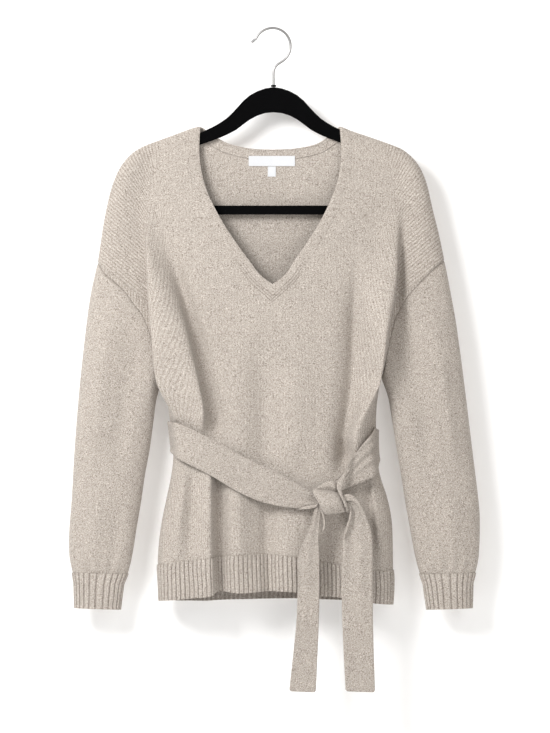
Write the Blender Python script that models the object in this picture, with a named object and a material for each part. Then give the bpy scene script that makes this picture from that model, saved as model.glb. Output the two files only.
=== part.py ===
"""Tie-waist V-neck pullover sweater, hanging on a flat clothes hanger.

World frame in metres: +X to the right as seen from the front, +Y away from the viewer, +Z up.
The origin is the inner top of the hanger's hook, where a rail or a nail carries it.
Tables and sizes are in millimetres. Left and right are as seen from the front.
"""
import math

import bmesh
import bpy
import numpy as np

MM = 0.001

# Cloth
WALL = 2.2            # thickness of the knitted cloth
SEAM_GAP = 0.36       # clear gap between two pieces at a seam
RIB_RISE = 1.3        # how far a rib stands above the groove beside it
HEM_RIB_PITCH = 6.3
CUFF_RIBS = 25        # ribs all round a cuff

# Depth of the hanging garment, measured out from the plane of the hanger
HANGER_WRAP = 6.5     # cloth outside, over the hanger's arms
HANGER_ROUND = 13.0   # how far down from the shoulder line that wrap turns
DROP_WRAP = 16.0      # the same where the shoulder hangs free beyond the arms
DROP_ROUND = 26.0
ARMS_END = 165.0      # from here out the shoulder hangs free, over this width
ARMS_END_RUN = 50.0
WRAP_KEEP = 60.0      # the free shoulder's fuller wrap holds this far down, then fades over this much
WRAP_FADE = 100.0
FALL = 160.0          # distance from the shoulder line over which the body fills out
SIDE_ROUND = 48.0     # width of the rounded fold at each side of the body
ROUNDNESS = 2.3       # 2 gives an ellipse, more gives a squarer fold

# Key heights and points
UNDERARM_Z = -481.0
UNDERARM_X = 150.0
NECKBAND = 15.5       # width of the neckband
APEX_BAND = 24.0      # the band's height where it is mitred at the point of the V
BACK_BAND = 14.0
BAND_START = 0.1      # share of the neck edge over which the band comes to its full width

# Column counts and row places of the panels
SHOULDER_COLUMNS = 10
FRONT_NECK_PLACES = (0, 0.012, 0.035, 0.08, 0.16, 0.27, 0.38, 0.49, 0.60, 0.71, 0.81, 0.91, 1)
BACK_NECK_PLACES = (0, 0.025, 0.075, 0.17, 0.4, 0.7, 1)
UPPER_ROWS = (0, 0.01, 0.03, 0.07, 0.14, 0.23, 0.34, 0.46, 0.58, 0.70, 0.81, 0.90, 0.965, 1.0)
LOWER_ROWS = 9
SIDE_SHARE = 24.0     # width at the underarm that the shoulder columns take
SIDE_CROWD = 1.3      # how strongly they crowd towards the side seam
NECK_CROWD = 1.25     # the same for the columns below the neck
NECK_BOW = 26.0       # how far the columns beside the neck swing out on their way down
SWING_PEAK = 6.75     # makes that swing's greatest value 1, a third of the way down
SETTLE = 4            # rounds in which a point's height and its place across settle

# The shoulder line, from the neck point down to the end of the armhole seam
SHOULDER_LINE = (
    # left_x, left_z, right_x, right_z
    (-100, -134, 93, -134),
    (-115, -138, 108, -140),
    (-135, -145.5, 139, -150.5),
    (-161, -155, 167, -160.5),
    (-179, -162, 182, -167.5),
    (-195, -172, 197, -181),
    (-209, -188, 208, -199),
    (-218, -206, 215, -219),
    (-225, -227, 222, -250),
    (-233, -264, 230, -282),
    (-242, -323, 238, -320),
)

# The armhole seam, from the end of the shoulder line to the underarm
ARMHOLE = (
    # left_x, left_z, right_x, right_z
    (-242, -323, 238, -320),
    (-232, -338, 218, -337),
    (-205, -362, 187, -369),
    (-191, -381, 175, -389),
    (-175, -405, 166, -413),
    (-150, -481, 150, -481),
)

# The edge of the V neck, from the neck point to the point of the V
V_EDGE = (
    # left_x, right_x, z
    (-100, 93, -134),
    (-101, 94.5, -158),
    (-100.5, 94.5, -183),
    (-95.5, 90.5, -209),
    (-87, 82, -233),
    (-74, 70, -258),
    (-56.5, 53.5, -287),
    (-37.5, 35.5, -313),
    (-19, 19, -338),
    (-5, 5, -350.5),
    (0, 0, -353),
)

# The edge of the back neck, from the neck point to the middle
BACK_NECK = (
    # left_x, left_z, right_x, right_z
    (-100, -134, 93, -134),
    (-74, -151, 74, -151),
    (-54, -160.5, 56, -160),
    (-31, -164.5, 31, -164.5),
    (0, -166, 0, -166),
)

# The body below the underarm: side seams, and how far the cloth stands out in front and behind
BODY = (
    # z, left_x, right_x
    (-481, -150, 150),
    (-527, -144, 144),
    (-560, -140, 143.5),
    (-590, -137.5, 144.5),
    (-621, -141, 150),
    (-645, -146, 158),
    (-679, -153, 165),
    (-706, -157, 166.5),
    (-741, -159, 167),
    (-770, -157.5, 167.5),
    (-800, -157, 166),
)
FILL = (
    # z, front, back: added to the wrap over the hanger
    (-130, 8, 5),
    (-300, 15, 9),
    (-481, 22, 14),
    (-600, 26, 17),
    (-800, 29, 20),
)

HEM_MIDDLE_Z = -765.0
HEM_MEET = 0.08       # share of the hem's width over which the back leaves the front's height
HEM_TOP = (
    # x, front_z, back_z
    (-160, -741, -741),
    (-119, -734, -745),
    (-76, -729, -746),
    (14, -727, -745),
    (65, -735, -745),
    (141, -748, -749),
    (168, -748, -748),
)
HEM_BOTTOM = (
    # x, front_z, back_z
    (-160, -791, -791),
    (-120, -787, -792),
    (-90, -782, -792),
    (-76, -777, -791),
    (-49, -779, -790),
    (0, -776.5, -789),
    (32, -778, -789),
    (65, -783, -790),
    (95, -785.5, -791),
    (139, -793, -794),
    (168, -796, -796),
)

# Folds of the front, one row each: a ridge where the rise is over 0, a trough where it is under 0.
# The lean moves the crest sideways, so a strong one makes a fold that laps over.
FRONT_FOLDS = (
    # top_z, top_x, middle_x, low_z, low_x, width, rise, lean, top_fade, low_fade
    (-200, -176, -148, -560, -127, 11, 16, -27, 190, 80),    # side fold lapping over the left sleeve
    (-290, -160, -130, -578, -100, 12, 9, 9, 130, 50),       # second left fold, its edge to the middle
    (-230, -172, -112, -578, -74, 12, -8, 0, 160, 40),       # trough beside it
    (-585, -130, -137, -770, -143, 12, 8, 8, 40, 110),       # left fold below the tie
    (-600, -108, -112, -770, -119, 8, -7, 0, 30, 110),
    (-592, -97, -96, -900, -93, 12, 10, 9, 30, 60),          # fold that runs on through the hem
    (-592, -74, -72, -900, -70, 10, -9, 0, 30, 60),
    (-210, 178, 148, -560, 128, 11, 14, 20, 170, 80),        # side fold lapping over the right sleeve
    (-220, 168, 124, -590, 108, 20, 8, -6, 170, 30),         # broad right fold
    (-340, 110, 101, -620, 88, 14, -8, 0, 90, 60),
    (-610, 126, 139, -770, 147, 9, -8, 0, 25, 90),           # trough below the right tie
    (-610, 143, 152, -780, 154, 11, 5, -5, 25, 90),
    (-400, -48, -45, -600, -42, 20, 3, 0, 70, 40),           # soft waves of the middle
    (-450, -12, -13, -640, -14, 16, -3, 0, 70, 40),
    (-450, 24, 23, -630, 20, 18, 3, 0, 70, 40),
    (-600, -54, -52, -780, -50, 16, 4, 0, 30, 70),
    (-605, -26, -23, -780, -20, 15, -4, 0, 30, 70),
)
BACK_FOLDS = (
    # top_z, top_x, middle_x, low_z, low_x, width, rise, lean, top_fade, low_fade
    (-200, -176, -148, -600, -126, 13, 9, -12, 190, 90),
    (-210, 178, 148, -600, 126, 13, 9, 12, 170, 90),
    (-300, -130, -100, -700, -84, 18, -6, 0, 150, 120),
    (-300, 128, 98, -700, 86, 18, -6, 0, 150, 120),
    (-580, -108, -112, -900, -114, 15, 6, 0, 90, 60),
    (-580, 112, 118, -900, 120, 15, 6, 0, 90, 60),
    (-560, -34, -32, -900, -30, 18, -5, 0, 110, 60),
    (-560, 30, 30, -900, 32, 18, 4, 0, 110, 60),
)
FOLD_EDGE = 14.0      # folds die out this close to the shoulder line and the side seams

# Sleeves: the outer and inner outline, and how far each stands out in front and behind
SLEEVE_OUTER = (
    # left_x, left_z, right_x, right_z
    (-242, -323, 238, -320),
    (-251, -364, 248, -372),
    (-257, -405, 255.5, -416),
    (-266, -485, 266, -495),
    (-273, -568, 276, -578),
    (-278, -651, 285, -651),
    (-281, -690, 287, -685),
    (-281.5, -724, 285.5, -728),
    (-277, -752, 281, -752),
)
SLEEVE_INNER = (
    # left_x, left_z, right_x, right_z
    (-150, -481, 150, -481),
    (-160, -510, 160, -510),
    (-165, -545, 166, -545),
    (-170, -582, 172, -582),
    (-177, -620, 178, -618),
    (-182, -655, 183, -651),
    (-188, -690, 190, -690),
    (-194, -728, 197, -728),
    (-200, -753, 203.5, -753),
)
SLEEVE_DEPTH = (
    # share of the length, front, back
    (0, 21, 20),
    (0.3, 24, 20),
    (0.7, 22, 17),
    (0.92, 19, 15),
    (1, 14, 12),
)
SLEEVE_ROWS = 11
SLEEVE_EASE = 0.3     # share of the length in which the armhole's own line fades out
SLEEVE_EVEN = 0.4     # share of the length in which the columns come to lie evenly round it
SLEEVE_FADE = 0.15    # share over which a sleeve's fold comes and goes
SLEEVE_FOLDS = (
    # place across (0 outer, 1 inner), width, rise, start, end (shares of the length)
    (0.26, 0.10, 3.0, 0.05, 0.65),
    (0.60, 0.13, -4.0, 0.05, 0.60),
    (0.40, 0.12, 2.5, 0.60, 1.00),
    (0.72, 0.10, -2.5, 0.65, 1.00),
)

CUFF = (
    # left_outer_x, left_inner_x, right_outer_x, right_inner_x, z, half_depth
    (-274.5, -206.5, 277, 209, -766, 14),
    (-273.5, -211, 276, 214, -801, 13),
)
CUFF_SLANT = 2.0      # how much lower a cuff hangs at its inner side

# Waist ties
TIE_WALL = 3.0
TIE_EDGE = 1.8        # thickness at the edges
TIE_CLEAR = 0.8       # gap between a tie and the folds it lies on
STRAP_LIFT = 8.5      # how far the folds hold a strap off the panel
STRAP_LIFT_RUN = 16.0
NUDGE = 0.5           # step over which the panel's slope is measured
STRAP_LEFT = (
    # x, upper_z, lower_z
    (-148, -535, -587),
    (-113, -554, -606),
    (-87, -568, -619),
    (-46, -590, -641),
    (-9, -607, -655),
    (23, -622, -661),
    (46, -634, -662),
    (70, -643, -657),
)
STRAP_RIGHT = (
    # x, upper_z, lower_z
    (149, -546, -598),
    (143, -551, -609),
    (135, -560, -618),
    (124, -573, -624),
    (108, -596, -632),
    (97, -612, -637),
    (84, -624, -642),
)
STRAP_COLUMNS = 17
STRAP_CROWD = 2.4     # how strongly a strap's columns crowd towards the side seam
KNOT_CENTRE = (79, -56, -646.5)
KNOT_HALF = (18.5, 11.5, 23.5)
KNOT_LEAN = 0.36      # the knot's sides move right by this share of the way down
KNOT_SQUARE = 0.22    # how far its outline is swelled towards a square
END_LEFT = (
    # left_x, left_z, right_x, right_z, y
    (60, -660, 68, -655, -49.6),
    (57, -668, 66, -669, -51.5),
    (52, -684, 64.5, -686, -53),
    (41, -708, 64, -706, -52),
    (35, -730, 65, -728, -50.5),
    (34, -774, 65, -774, -49),
    (32, -822, 64, -822, -48),
    (23, -909, 60, -916, -46),
)
END_RIGHT = (
    # left_x, left_z, right_x, right_z, y
    (99.1, -656, 100.4, -637, -54),
    (101, -660, 106, -642, -56),
    (104, -668, 118, -654, -56),
    (105, -682, 130, -671, -54.5),
    (101, -702, 137, -700, -52.5),
    (95.5, -729, 138.5, -729, -51),
    (95, -775, 138, -775, -49.5),
    (96, -830, 139, -838, -48),
    (100, -911, 141.5, -915, -46),
)
END_ROWS = 15
ACROSS = 4            # steps across a tie

# Label and size tab, inside the back neck
LABEL_SIZE = (64, 14)
LABEL_TOP = (-1, -175)
TAB_SIZE = (11, 14)
TAB_TOP = (-1, -189.6)
LABEL_THICK = 0.7
LABEL_CLEAR = 0.35

# Hanger
HANGER_X = 1.5        # middle of the hanger
HANGER_THICK = 5.0
HANGER_BEVEL = 1.0
ARM_TOP = (
    # distance from the middle, z
    (0, -80),
    (12, -82),
    (28, -88.5),
    (41, -98.5),
    (53, -112),
    (65, -123.5),
    (78, -132),
    (91.5, -138.8),
    (106.5, -145.3),
    (137.5, -155.8),
    (165.5, -165.8),
    (179, -173),
    (187, -181.5),
)
ARM_BOTTOM = (
    # distance from the middle, z
    (183, -194),
    (165, -182.5),
    (138, -172.5),
    (110, -162.5),
    (92, -156.5),
    (78, -151.5),
    (66, -146.5),
    (54, -140.5),
    (42, -131.5),
    (29, -122.5),
    (14, -116.5),
    (0, -115),
)
BAR_TOP = -244.0
BAR_HEIGHT = 12.4
BAR_TIP = 174.0       # middle of the turned-up end
BAR_RISER = 11.0
BAR_CORNER = 14.0     # inner radius where the bar turns up
BAR_SEAT = 0.35       # gap between the bar's ends and the arms
HOOK_WIRE = 3.4
HOOK_RADIUS = 25.0    # of the wire's middle line
HOOK_FOOT_Z = -76.9
HOOK_TIP = ((-29.0, -17.9), (-27.5, -16.8), (-25.5, -15.2))
HOOK_TIP_ANGLE = 156.0
HOOK_LOW_ANGLE = -56.0
HOOK_BEND = ((6.2, -49.5), (2.7, -54.5), (1.5, -60.0))    # x, z down to the straight foot
COLLAR_RADIUS = 3.6
COLLAR_BOTTOM_Z = -79.7
COLLAR_HEIGHT = 2.5

KNIT = (0.62, 0.53, 0.44)
FLOCK = (0.012, 0.012, 0.013)
STEEL = (0.78, 0.78, 0.80)
TAPE = (0.90, 0.89, 0.87)


def smooth(value):
    """0 below 0, 1 above 1, and an even S between."""
    value = np.clip(value, 0.0, 1.0)
    return value * value * (3.0 - 2.0 * value)


def rounded(share):
    """Height of a rounded edge, 0 to 1, at a share of its width in from the edge."""
    share = np.clip(share, 0.0, 1.0)
    return (1.0 - (1.0 - share) ** ROUNDNESS) ** (1.0 / ROUNDNESS)


def spline(points, shares):
    """Points at the given shares of the length of a smooth curve through the points."""
    points = np.asarray(points, float)
    ends = np.vstack([2 * points[0] - points[1], points, 2 * points[-1] - points[-2]])
    fine = [points[0]]
    for start in range(len(points) - 1):
        a, b, c, d = ends[start:start + 4]
        for step in range(1, 13):
            t = step / 12.0
            fine.append(0.5 * (2 * b + (c - a) * t + (2 * a - 5 * b + 4 * c - d) * t * t
                               + (3 * b - a - 3 * c + d) * t ** 3))
    fine = np.array(fine)
    travel = np.concatenate([[0.0], np.cumsum(np.linalg.norm(np.diff(fine, axis=0), axis=1))])
    wanted = np.asarray(shares, float) * travel[-1]
    return np.stack([np.interp(wanted, travel, fine[:, axis]) for axis in range(fine.shape[1])], -1)


def look_up(table, key, column):
    """Value of a table's column at a key, the table's first column, eased between rows."""
    rows = sorted(table)
    keys = np.array([row[0] for row in rows], float)
    values = np.array([row[column] for row in rows], float)
    slopes = np.gradient(values, keys)
    key = np.clip(key, keys[0], keys[-1])
    at = np.clip(np.searchsorted(keys, key) - 1, 0, len(keys) - 2)
    span = keys[at + 1] - keys[at]
    t = (key - keys[at]) / span
    return ((2 * t ** 3 - 3 * t ** 2 + 1) * values[at] + (t ** 3 - 2 * t ** 2 + t) * span * slopes[at]
            + (3 * t ** 2 - 2 * t ** 3) * values[at + 1] + (t ** 3 - t ** 2) * span * slopes[at + 1])


def pairs(table, side, across=2):
    """The left or right half of a table that holds both sides."""
    first = 0 if side < 0 else across
    return [row[first:first + across] for row in table]


def v_edge(side):
    column = 0 if side < 0 else 1
    return [(row[column], row[2]) for row in V_EDGE]


def distance_to(line, x, z):
    """Distance from points to a line of points, all in the plane of the hanger."""
    best = np.full(np.shape(x), 1e9)
    for (ax, az), (bx, bz) in zip(line[:-1], line[1:]):
        length = (bx - ax) ** 2 + (bz - az) ** 2
        t = np.clip(((x - ax) * (bx - ax) + (z - az) * (bz - az)) / length, 0, 1)
        best = np.minimum(best, np.hypot(x - ax - t * (bx - ax), z - az - t * (bz - az)))
    return best


SHOULDER_FINE = {side: spline(pairs(SHOULDER_LINE, side), np.linspace(0, 1, 60)) for side in (-1, 1)}


def from_shoulder(x, z):
    """Distance from the shoulder line, or from the first stretch of the sleeve's outside."""
    nearest = np.full(np.shape(x), 1e9)
    for side in (-1, 1):
        line = np.vstack([SHOULDER_FINE[side], pairs(SLEEVE_OUTER, side)[1]])
        nearest = np.minimum(nearest, distance_to(line, x, z))
    return nearest


def from_side(x, z):
    """Distance from the side seams, or above them from the underarm points."""
    below = np.minimum(z, UNDERARM_Z)
    left = x - look_up(BODY, below, 1)
    right = look_up(BODY, below, 2) - x
    rise = np.maximum(z - UNDERARM_Z, 0.0)
    left = np.where(z > UNDERARM_Z, np.hypot(x + UNDERARM_X, rise), left)
    right = np.where(z > UNDERARM_Z, np.hypot(x - UNDERARM_X, rise), right)
    return np.maximum(np.minimum(left, right), 0.0)


def body_depth(x, z, face):
    """How far the cloth's outside stands from the hanger's plane; face is 1 in front, 2 behind."""
    down = from_shoulder(x, z)
    free = smooth((np.abs(x) - ARMS_END) / ARMS_END_RUN)
    wrap = HANGER_WRAP + (DROP_WRAP - HANGER_WRAP) * free
    turn = HANGER_ROUND + (DROP_ROUND - HANGER_ROUND) * free
    wrap = wrap + (HANGER_WRAP - wrap) * smooth((down - WRAP_KEEP) / WRAP_FADE)
    fill = look_up(FILL, z, face) * smooth(down / FALL)
    return (wrap * rounded(down / turn) + fill) * rounded(from_side(x, z) / SIDE_ROUND)


def fold_shift(x, z, folds):
    """Sideways shift and rise that the folds give to a point of the cloth."""
    shift = np.zeros(np.shape(x))
    rise = np.zeros(np.shape(x))
    for top_z, top_x, middle_x, low_z, low_x, width, height, lean, top_fade, low_fade in folds:
        t = (top_z - z) / (top_z - low_z)
        path = top_x * (1 - t) * (1 - 2 * t) + middle_x * 4 * t * (1 - t) + low_x * t * (2 * t - 1)
        strength = smooth((top_z - z) / top_fade) * smooth((z - low_z) / low_fade)
        strength = strength * np.exp(-((x - path) / width) ** 2)
        rise += height * strength
        shift += lean * strength
    hold = smooth(np.minimum(from_shoulder(x, z), from_side(x, z)) / FOLD_EDGE)
    return shift * hold, rise * hold


def dress(x, z, face):
    """The cloth's outside over plan points, with its folds; face is 1 in front, 2 behind."""
    folds = FRONT_FOLDS if face == 1 else BACK_FOLDS
    shift, rise = fold_shift(x, z, folds)
    depth = body_depth(x, z, face) + rise
    outward = -1.0 if face == 1 else 1.0
    return np.stack([x + shift, outward * depth, z], -1)


def neck_lines(face):
    """The neck edge and the band's outer line, each from the left neck point to the right one."""
    places = FRONT_NECK_PLACES if face == 1 else BACK_NECK_PLACES
    width = NECKBAND if face == 1 else BACK_BAND
    halves = []
    for side in (-1, 1):
        edge_points = v_edge(side) if face == 1 else pairs(BACK_NECK, side)
        edge = spline(edge_points, places)
        along = np.gradient(edge, places, axis=0)
        along /= np.linalg.norm(along, axis=1)[:, None]
        away = np.stack([along[:, 1], -along[:, 0]], -1) * -side
        outer = edge + width * away
        start = smooth(np.asarray(places) / BAND_START)[:, None]
        outer += (1 - start) * (np.array(pairs(SHOULDER_LINE, side)[1]) - outer[0])
        outer[-1] = edge[-1] - (0, APEX_BAND if face == 1 else width)
        halves.append((edge, outer))
    (left_edge, left_outer), (right_edge, right_outer) = halves
    edge = np.vstack([left_edge, right_edge[-2::-1]])
    outer = np.vstack([left_outer, right_outer[-2::-1]])
    return edge, outer


def underarm_places(face):
    """Places across at the underarm, one for each column of a panel."""
    crowd = np.linspace(0, 1, SHOULDER_COLUMNS + 1) ** SIDE_CROWD
    side = -UNDERARM_X + SIDE_SHARE * crowd
    neck_steps = len(FRONT_NECK_PLACES if face == 1 else BACK_NECK_PLACES) - 1
    middle = side[-1] * (1 - np.linspace(0, 1, neck_steps + 1) ** NECK_CROWD)
    return np.concatenate([side, middle[1:-1], -middle[::-1], -side[-2::-1]])


def column_swing(face):
    """How far each column swings to the left, with a minus, or right on its way down."""
    places = FRONT_NECK_PLACES if face == 1 else BACK_NECK_PLACES
    shoulder = np.linspace(0, 1, SHOULDER_COLUMNS + 1) ** 2
    neck = (1 - np.asarray(places[1:])) ** 2
    half = -NECK_BOW * np.concatenate([shoulder, neck])
    return np.concatenate([half, -half[-2::-1]])


def hem_height(table, across, x, face):
    """Height of a hem line; at the side seams the back keeps to the front's."""
    front = look_up(table, x, 1)
    inside = smooth(np.minimum(across, 1 - across) / HEM_MEET)
    return front + (look_up(table, x, face) - front) * inside


def body_x(across, z):
    """Place between the side seams, 0 at the left and 1 at the right, at a height."""
    return look_up(BODY, z, 1) * (1 - across) + look_up(BODY, z, 2) * across


def panel(face):
    """Grid of the front or back panel, rows from the shoulder and neck down to the hem."""
    neck = neck_lines(face)[1]
    shares = np.linspace(1, 0, SHOULDER_COLUMNS + 1)
    left = spline(pairs(SHOULDER_LINE, -1)[1:], shares)
    right = spline(pairs(SHOULDER_LINE, 1)[1:], shares[::-1])
    top = np.vstack([left, neck[1:-1], right])
    places = underarm_places(face)
    swing = column_swing(face)
    low = np.stack([places, np.full(len(places), UNDERARM_Z)], -1)
    rows = []
    for share in UPPER_ROWS:
        row = top * (1 - share) + low * share
        row[:, 0] += swing * SWING_PEAK * share * (1 - share) ** 2
        for side, order in ((-1, 1), (1, -1)):
            seam = spline(pairs(ARMHOLE, side), [share])[0]
            off = seam - row[::order][0]
            for step in range(SHOULDER_COLUMNS):
                weight = 1 - step / SHOULDER_COLUMNS
                row[::order][step] += weight * off
        rows.append(row)
    across = (places + UNDERARM_X) / (2 * UNDERARM_X)
    for step in range(1, LOWER_ROWS + 1):
        share = step / LOWER_ROWS
        z = np.full(len(places), UNDERARM_Z)
        for _ in range(SETTLE):
            low_z = hem_height(HEM_TOP, across, body_x(across, z), face)
            z = UNDERARM_Z * (1 - share) + low_z * share
        rows.append(np.stack([body_x(across, z), z], -1))
    plan = np.array(rows)
    grid = dress(plan[..., 0], plan[..., 1], face)
    grid[0, :SHOULDER_COLUMNS + 1, 1] = 0
    grid[0, -SHOULDER_COLUMNS - 1:, 1] = 0
    grid[len(UPPER_ROWS) - 1:, (0, -1), 1] = 0
    return grid


def neckband(face):
    """Grid of half the neckband, rows from the seam with the panel to the free edge."""
    edge, outer = neck_lines(face)
    plan = np.array([outer, (outer + edge) / 2, edge])
    grid = dress(plan[..., 0], plan[..., 1], face)
    grid[:, (0, -1), 1] = 0
    return grid


def hem(face):
    """Grid of half the hem, with one rib to every two columns, and the raised ribs."""
    fine = 0.5 - 0.5 * np.cos(np.linspace(0, math.pi, 600))
    line = dress(body_x(fine, HEM_MIDDLE_Z), np.full(len(fine), HEM_MIDDLE_Z), face)
    travel = np.concatenate([[0.0], np.cumsum(np.linalg.norm(np.diff(line, axis=0), axis=1))])
    columns = 2 * round(travel[-1] / HEM_RIB_PITCH)
    across = np.interp(np.linspace(0, travel[-1], columns + 1), travel, fine)
    rows = []
    for share in (0.0, 1.0):
        z = np.full(len(across), HEM_MIDDLE_Z)
        for _ in range(SETTLE):
            x = body_x(across, z)
            high_z = hem_height(HEM_TOP, across, x, face)
            z = high_z * (1 - share) + hem_height(HEM_BOTTOM, across, x, face) * share
        rows.append(np.stack([body_x(across, z), z], -1))
    plan = np.array(rows)
    ribs = np.where(np.arange(columns + 1) % 2 == 1, RIB_RISE, 0.0)
    grid = dress(plan[..., 0], plan[..., 1], face)
    grid[:, (0, -1), 1] = 0
    return grid, np.array([ribs, ribs])


def sleeve_section(side, share, across, outward):
    """Points round a sleeve at a share of its length; across is 0 outside and 1 inside the arm."""
    outer = spline(pairs(SLEEVE_OUTER, side), [share])[0]
    inner = spline(pairs(SLEEVE_INNER, side), [share])[0]
    place = outer * (1 - across[:, None]) + inner * across[:, None]
    swell = np.maximum(1 - np.abs(2 * across - 1) ** ROUNDNESS, 0) ** (1 / ROUNDNESS)
    depth = np.where(outward < 0, look_up(SLEEVE_DEPTH, share, 1), look_up(SLEEVE_DEPTH, share, 2))
    for middle, width, height, start, end in SLEEVE_FOLDS:
        strength = smooth((share - start) / SLEEVE_FADE) * smooth((end - share) / SLEEVE_FADE)
        depth = depth + height * strength * np.exp(-((across - middle) / width) ** 2)
    return np.stack([place[:, 0], outward * depth * swell, place[:, 1]], -1)


def sleeve(side, front, back):
    """Rings of a sleeve, from its armhole seam to its cuff; a ring runs down the front first."""
    column = 0 if side < 0 else -1
    last = len(UPPER_ROWS) - 1
    seam = np.vstack([front[:last + 1, column], back[last - 1:0:-1, column]])
    rough = np.concatenate([UPPER_ROWS, UPPER_ROWS[-2:0:-1]])
    even = 0.5 - 0.5 * np.cos(np.linspace(0, 2 * math.pi, len(seam), endpoint=False))
    outward = np.where(np.arange(len(seam)) <= last, -1.0, 1.0)
    start = sleeve_section(side, 0, rough, outward)
    rings = []
    for share in np.linspace(0, 1, SLEEVE_ROWS + 1):
        across = rough + (even - rough) * smooth(share / SLEEVE_EVEN)
        ease = 1 - smooth(share / SLEEVE_EASE)
        rings.append(sleeve_section(side, share, across, outward) + ease * (seam - start))
    return np.array(rings)


def cuff(side):
    """Rings of a cuff, with one rib to every two columns, and the raised ribs."""
    count = 2 * CUFF_RIBS
    turn = np.linspace(0, 2 * math.pi, count, endpoint=False)
    reach = np.abs(np.cos(turn)) ** (2 / ROUNDNESS) * np.sign(np.cos(turn))
    swell = np.abs(np.sin(turn)) ** (2 / ROUNDNESS)
    outward = np.where(np.sin(turn) > 0, -1.0, 1.0)
    across = (1 - reach) / 2
    rings = [sleeve_section(side, 1.0, across, outward)]
    first = 0 if side < 0 else 2
    for row in CUFF:
        outer, inner = row[first:first + 2]
        z, half_depth = row[4:]
        x = outer + (inner - outer) * across
        rings.append(np.stack([x, outward * swell * half_depth, z - CUFF_SLANT * across], -1))
    ribs = np.where(np.arange(count) % 2 == 1, RIB_RISE, 0.0)
    return np.array(rings), np.array([ribs] * len(rings))


def strap(side, table):
    """Grid of the stretch of a tie from the side seam to the knot, lying on the front panel."""
    seam_column = 1 if side < 0 else 2
    end_x = table[-1][0]
    start_x = table[0][0]
    rows = []
    for step in range(STRAP_COLUMNS + 1):
        share = (step / STRAP_COLUMNS) ** STRAP_CROWD
        plain_x = start_x + (end_x - start_x) * share
        upper = look_up(table, plain_x, 1)
        lower = look_up(table, plain_x, 2)
        z = np.linspace(upper, lower, ACROSS + 1)
        edge_x = look_up(BODY, z, seam_column)
        x = edge_x + (end_x - edge_x) * share
        inward = -side * (x - edge_x)
        lift = TIE_CLEAR + TIE_WALL + STRAP_LIFT * smooth(inward / STRAP_LIFT_RUN)
        slope = (body_depth(x - side * NUDGE, z, 1) - body_depth(x, z, 1)) / NUDGE
        length = np.hypot(slope, 1.0)
        depth = body_depth(x, z, 1) + lift / length
        rows.append(np.stack([x + side * lift * slope / length, -depth, z], -1))
    return np.array(rows)


def tie_end(table):
    """Grid of a hanging end of a tie, rows from the knot down."""
    shares = np.linspace(0, 1, END_ROWS + 1)
    left = spline([(row[0], row[4], row[1]) for row in table], shares)
    right = spline([(row[2], row[4], row[3]) for row in table], shares)
    across = np.linspace(0, 1, ACROSS + 1)[None, :, None]
    return left[:, None, :] * (1 - across) + right[:, None, :] * across


def label_grid(size, top):
    """Grid of a tape sewn to the inside of the back neck."""
    x = np.linspace(top[0] - size[0] / 2, top[0] + size[0] / 2, 5)
    z = np.array([top[1], top[1] - size[1]])
    plan_x, plan_z = np.meshgrid(x, z)
    depth = body_depth(plan_x, plan_z, 2) - WALL - LABEL_CLEAR
    return np.stack([plan_x, depth, plan_z], -1)


def grid_normals(points, closed):
    """Outward unit normal of each point of a grid, from the faces around it."""
    rows, columns = points.shape[:2]
    wide = np.concatenate([points, points[:, :1]], axis=1) if closed else points
    side_a = wide[1:, 1:] - wide[:-1, :-1]
    side_b = wide[:-1, 1:] - wide[1:, :-1]
    faces = np.cross(side_a, side_b)
    normals = np.zeros((rows, wide.shape[1], 3))
    for down in (0, 1):
        for over in (0, 1):
            normals[down:rows - 1 + down, over:over + faces.shape[1]] += faces
    if closed:
        normals[:, 0] += normals[:, -1]
        normals = normals[:, :columns]
    return normals / np.linalg.norm(normals, axis=2)[..., None]


def border(points, closed):
    """Row and column of each point on an open edge of a grid."""
    rows, columns = points.shape[:2]
    places = [(row, column) for row in (0, rows - 1) for column in range(columns)]
    if not closed:
        places += [(row, column) for column in (0, columns - 1) for row in range(1, rows - 1)]
    return places


def point_key(point):
    return tuple(np.round(point * 200).astype(int))


def share_normals(pieces):
    """Gives points that several pieces share one normal, so that their walls don't cross."""
    shared = {}
    for piece in pieces:
        piece["normals"] = grid_normals(piece["points"], piece["closed"]) * piece["turn"]
        weight = 2 if piece["closed"] else 1    # a tube meets both a front and a back piece
        for place in border(piece["points"], piece["closed"]):
            key = point_key(piece["points"][place])
            shared[key] = shared.get(key, 0) + weight * piece["normals"][place]
    for piece in pieces:
        for place in border(piece["points"], piece["closed"]):
            normal = shared[point_key(piece["points"][place])]
            piece["normals"][place] = normal / np.linalg.norm(normal)
        for row in piece["level_rows"]:
            normals = piece["normals"][row]
            normals[:, 2] = 0
            piece["normals"][row] = normals / np.linalg.norm(normals, axis=1)[:, None]


def open_seams(piece):
    """Moves the edges of a grid inwards by half a seam's gap."""
    points = piece["points"]
    moved = points.copy()

    def pull(to, toward):
        step = toward - to
        return step / np.linalg.norm(step, axis=-1)[..., None] * SEAM_GAP / 2

    moved[0] += pull(points[0], points[1])
    moved[-1] += pull(points[-1], points[-2])
    if not piece["closed"]:
        moved[:, 0] += pull(points[:, 0], points[:, 1])
        moved[:, -1] += pull(points[:, -1], points[:, -2])
    return moved


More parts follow.
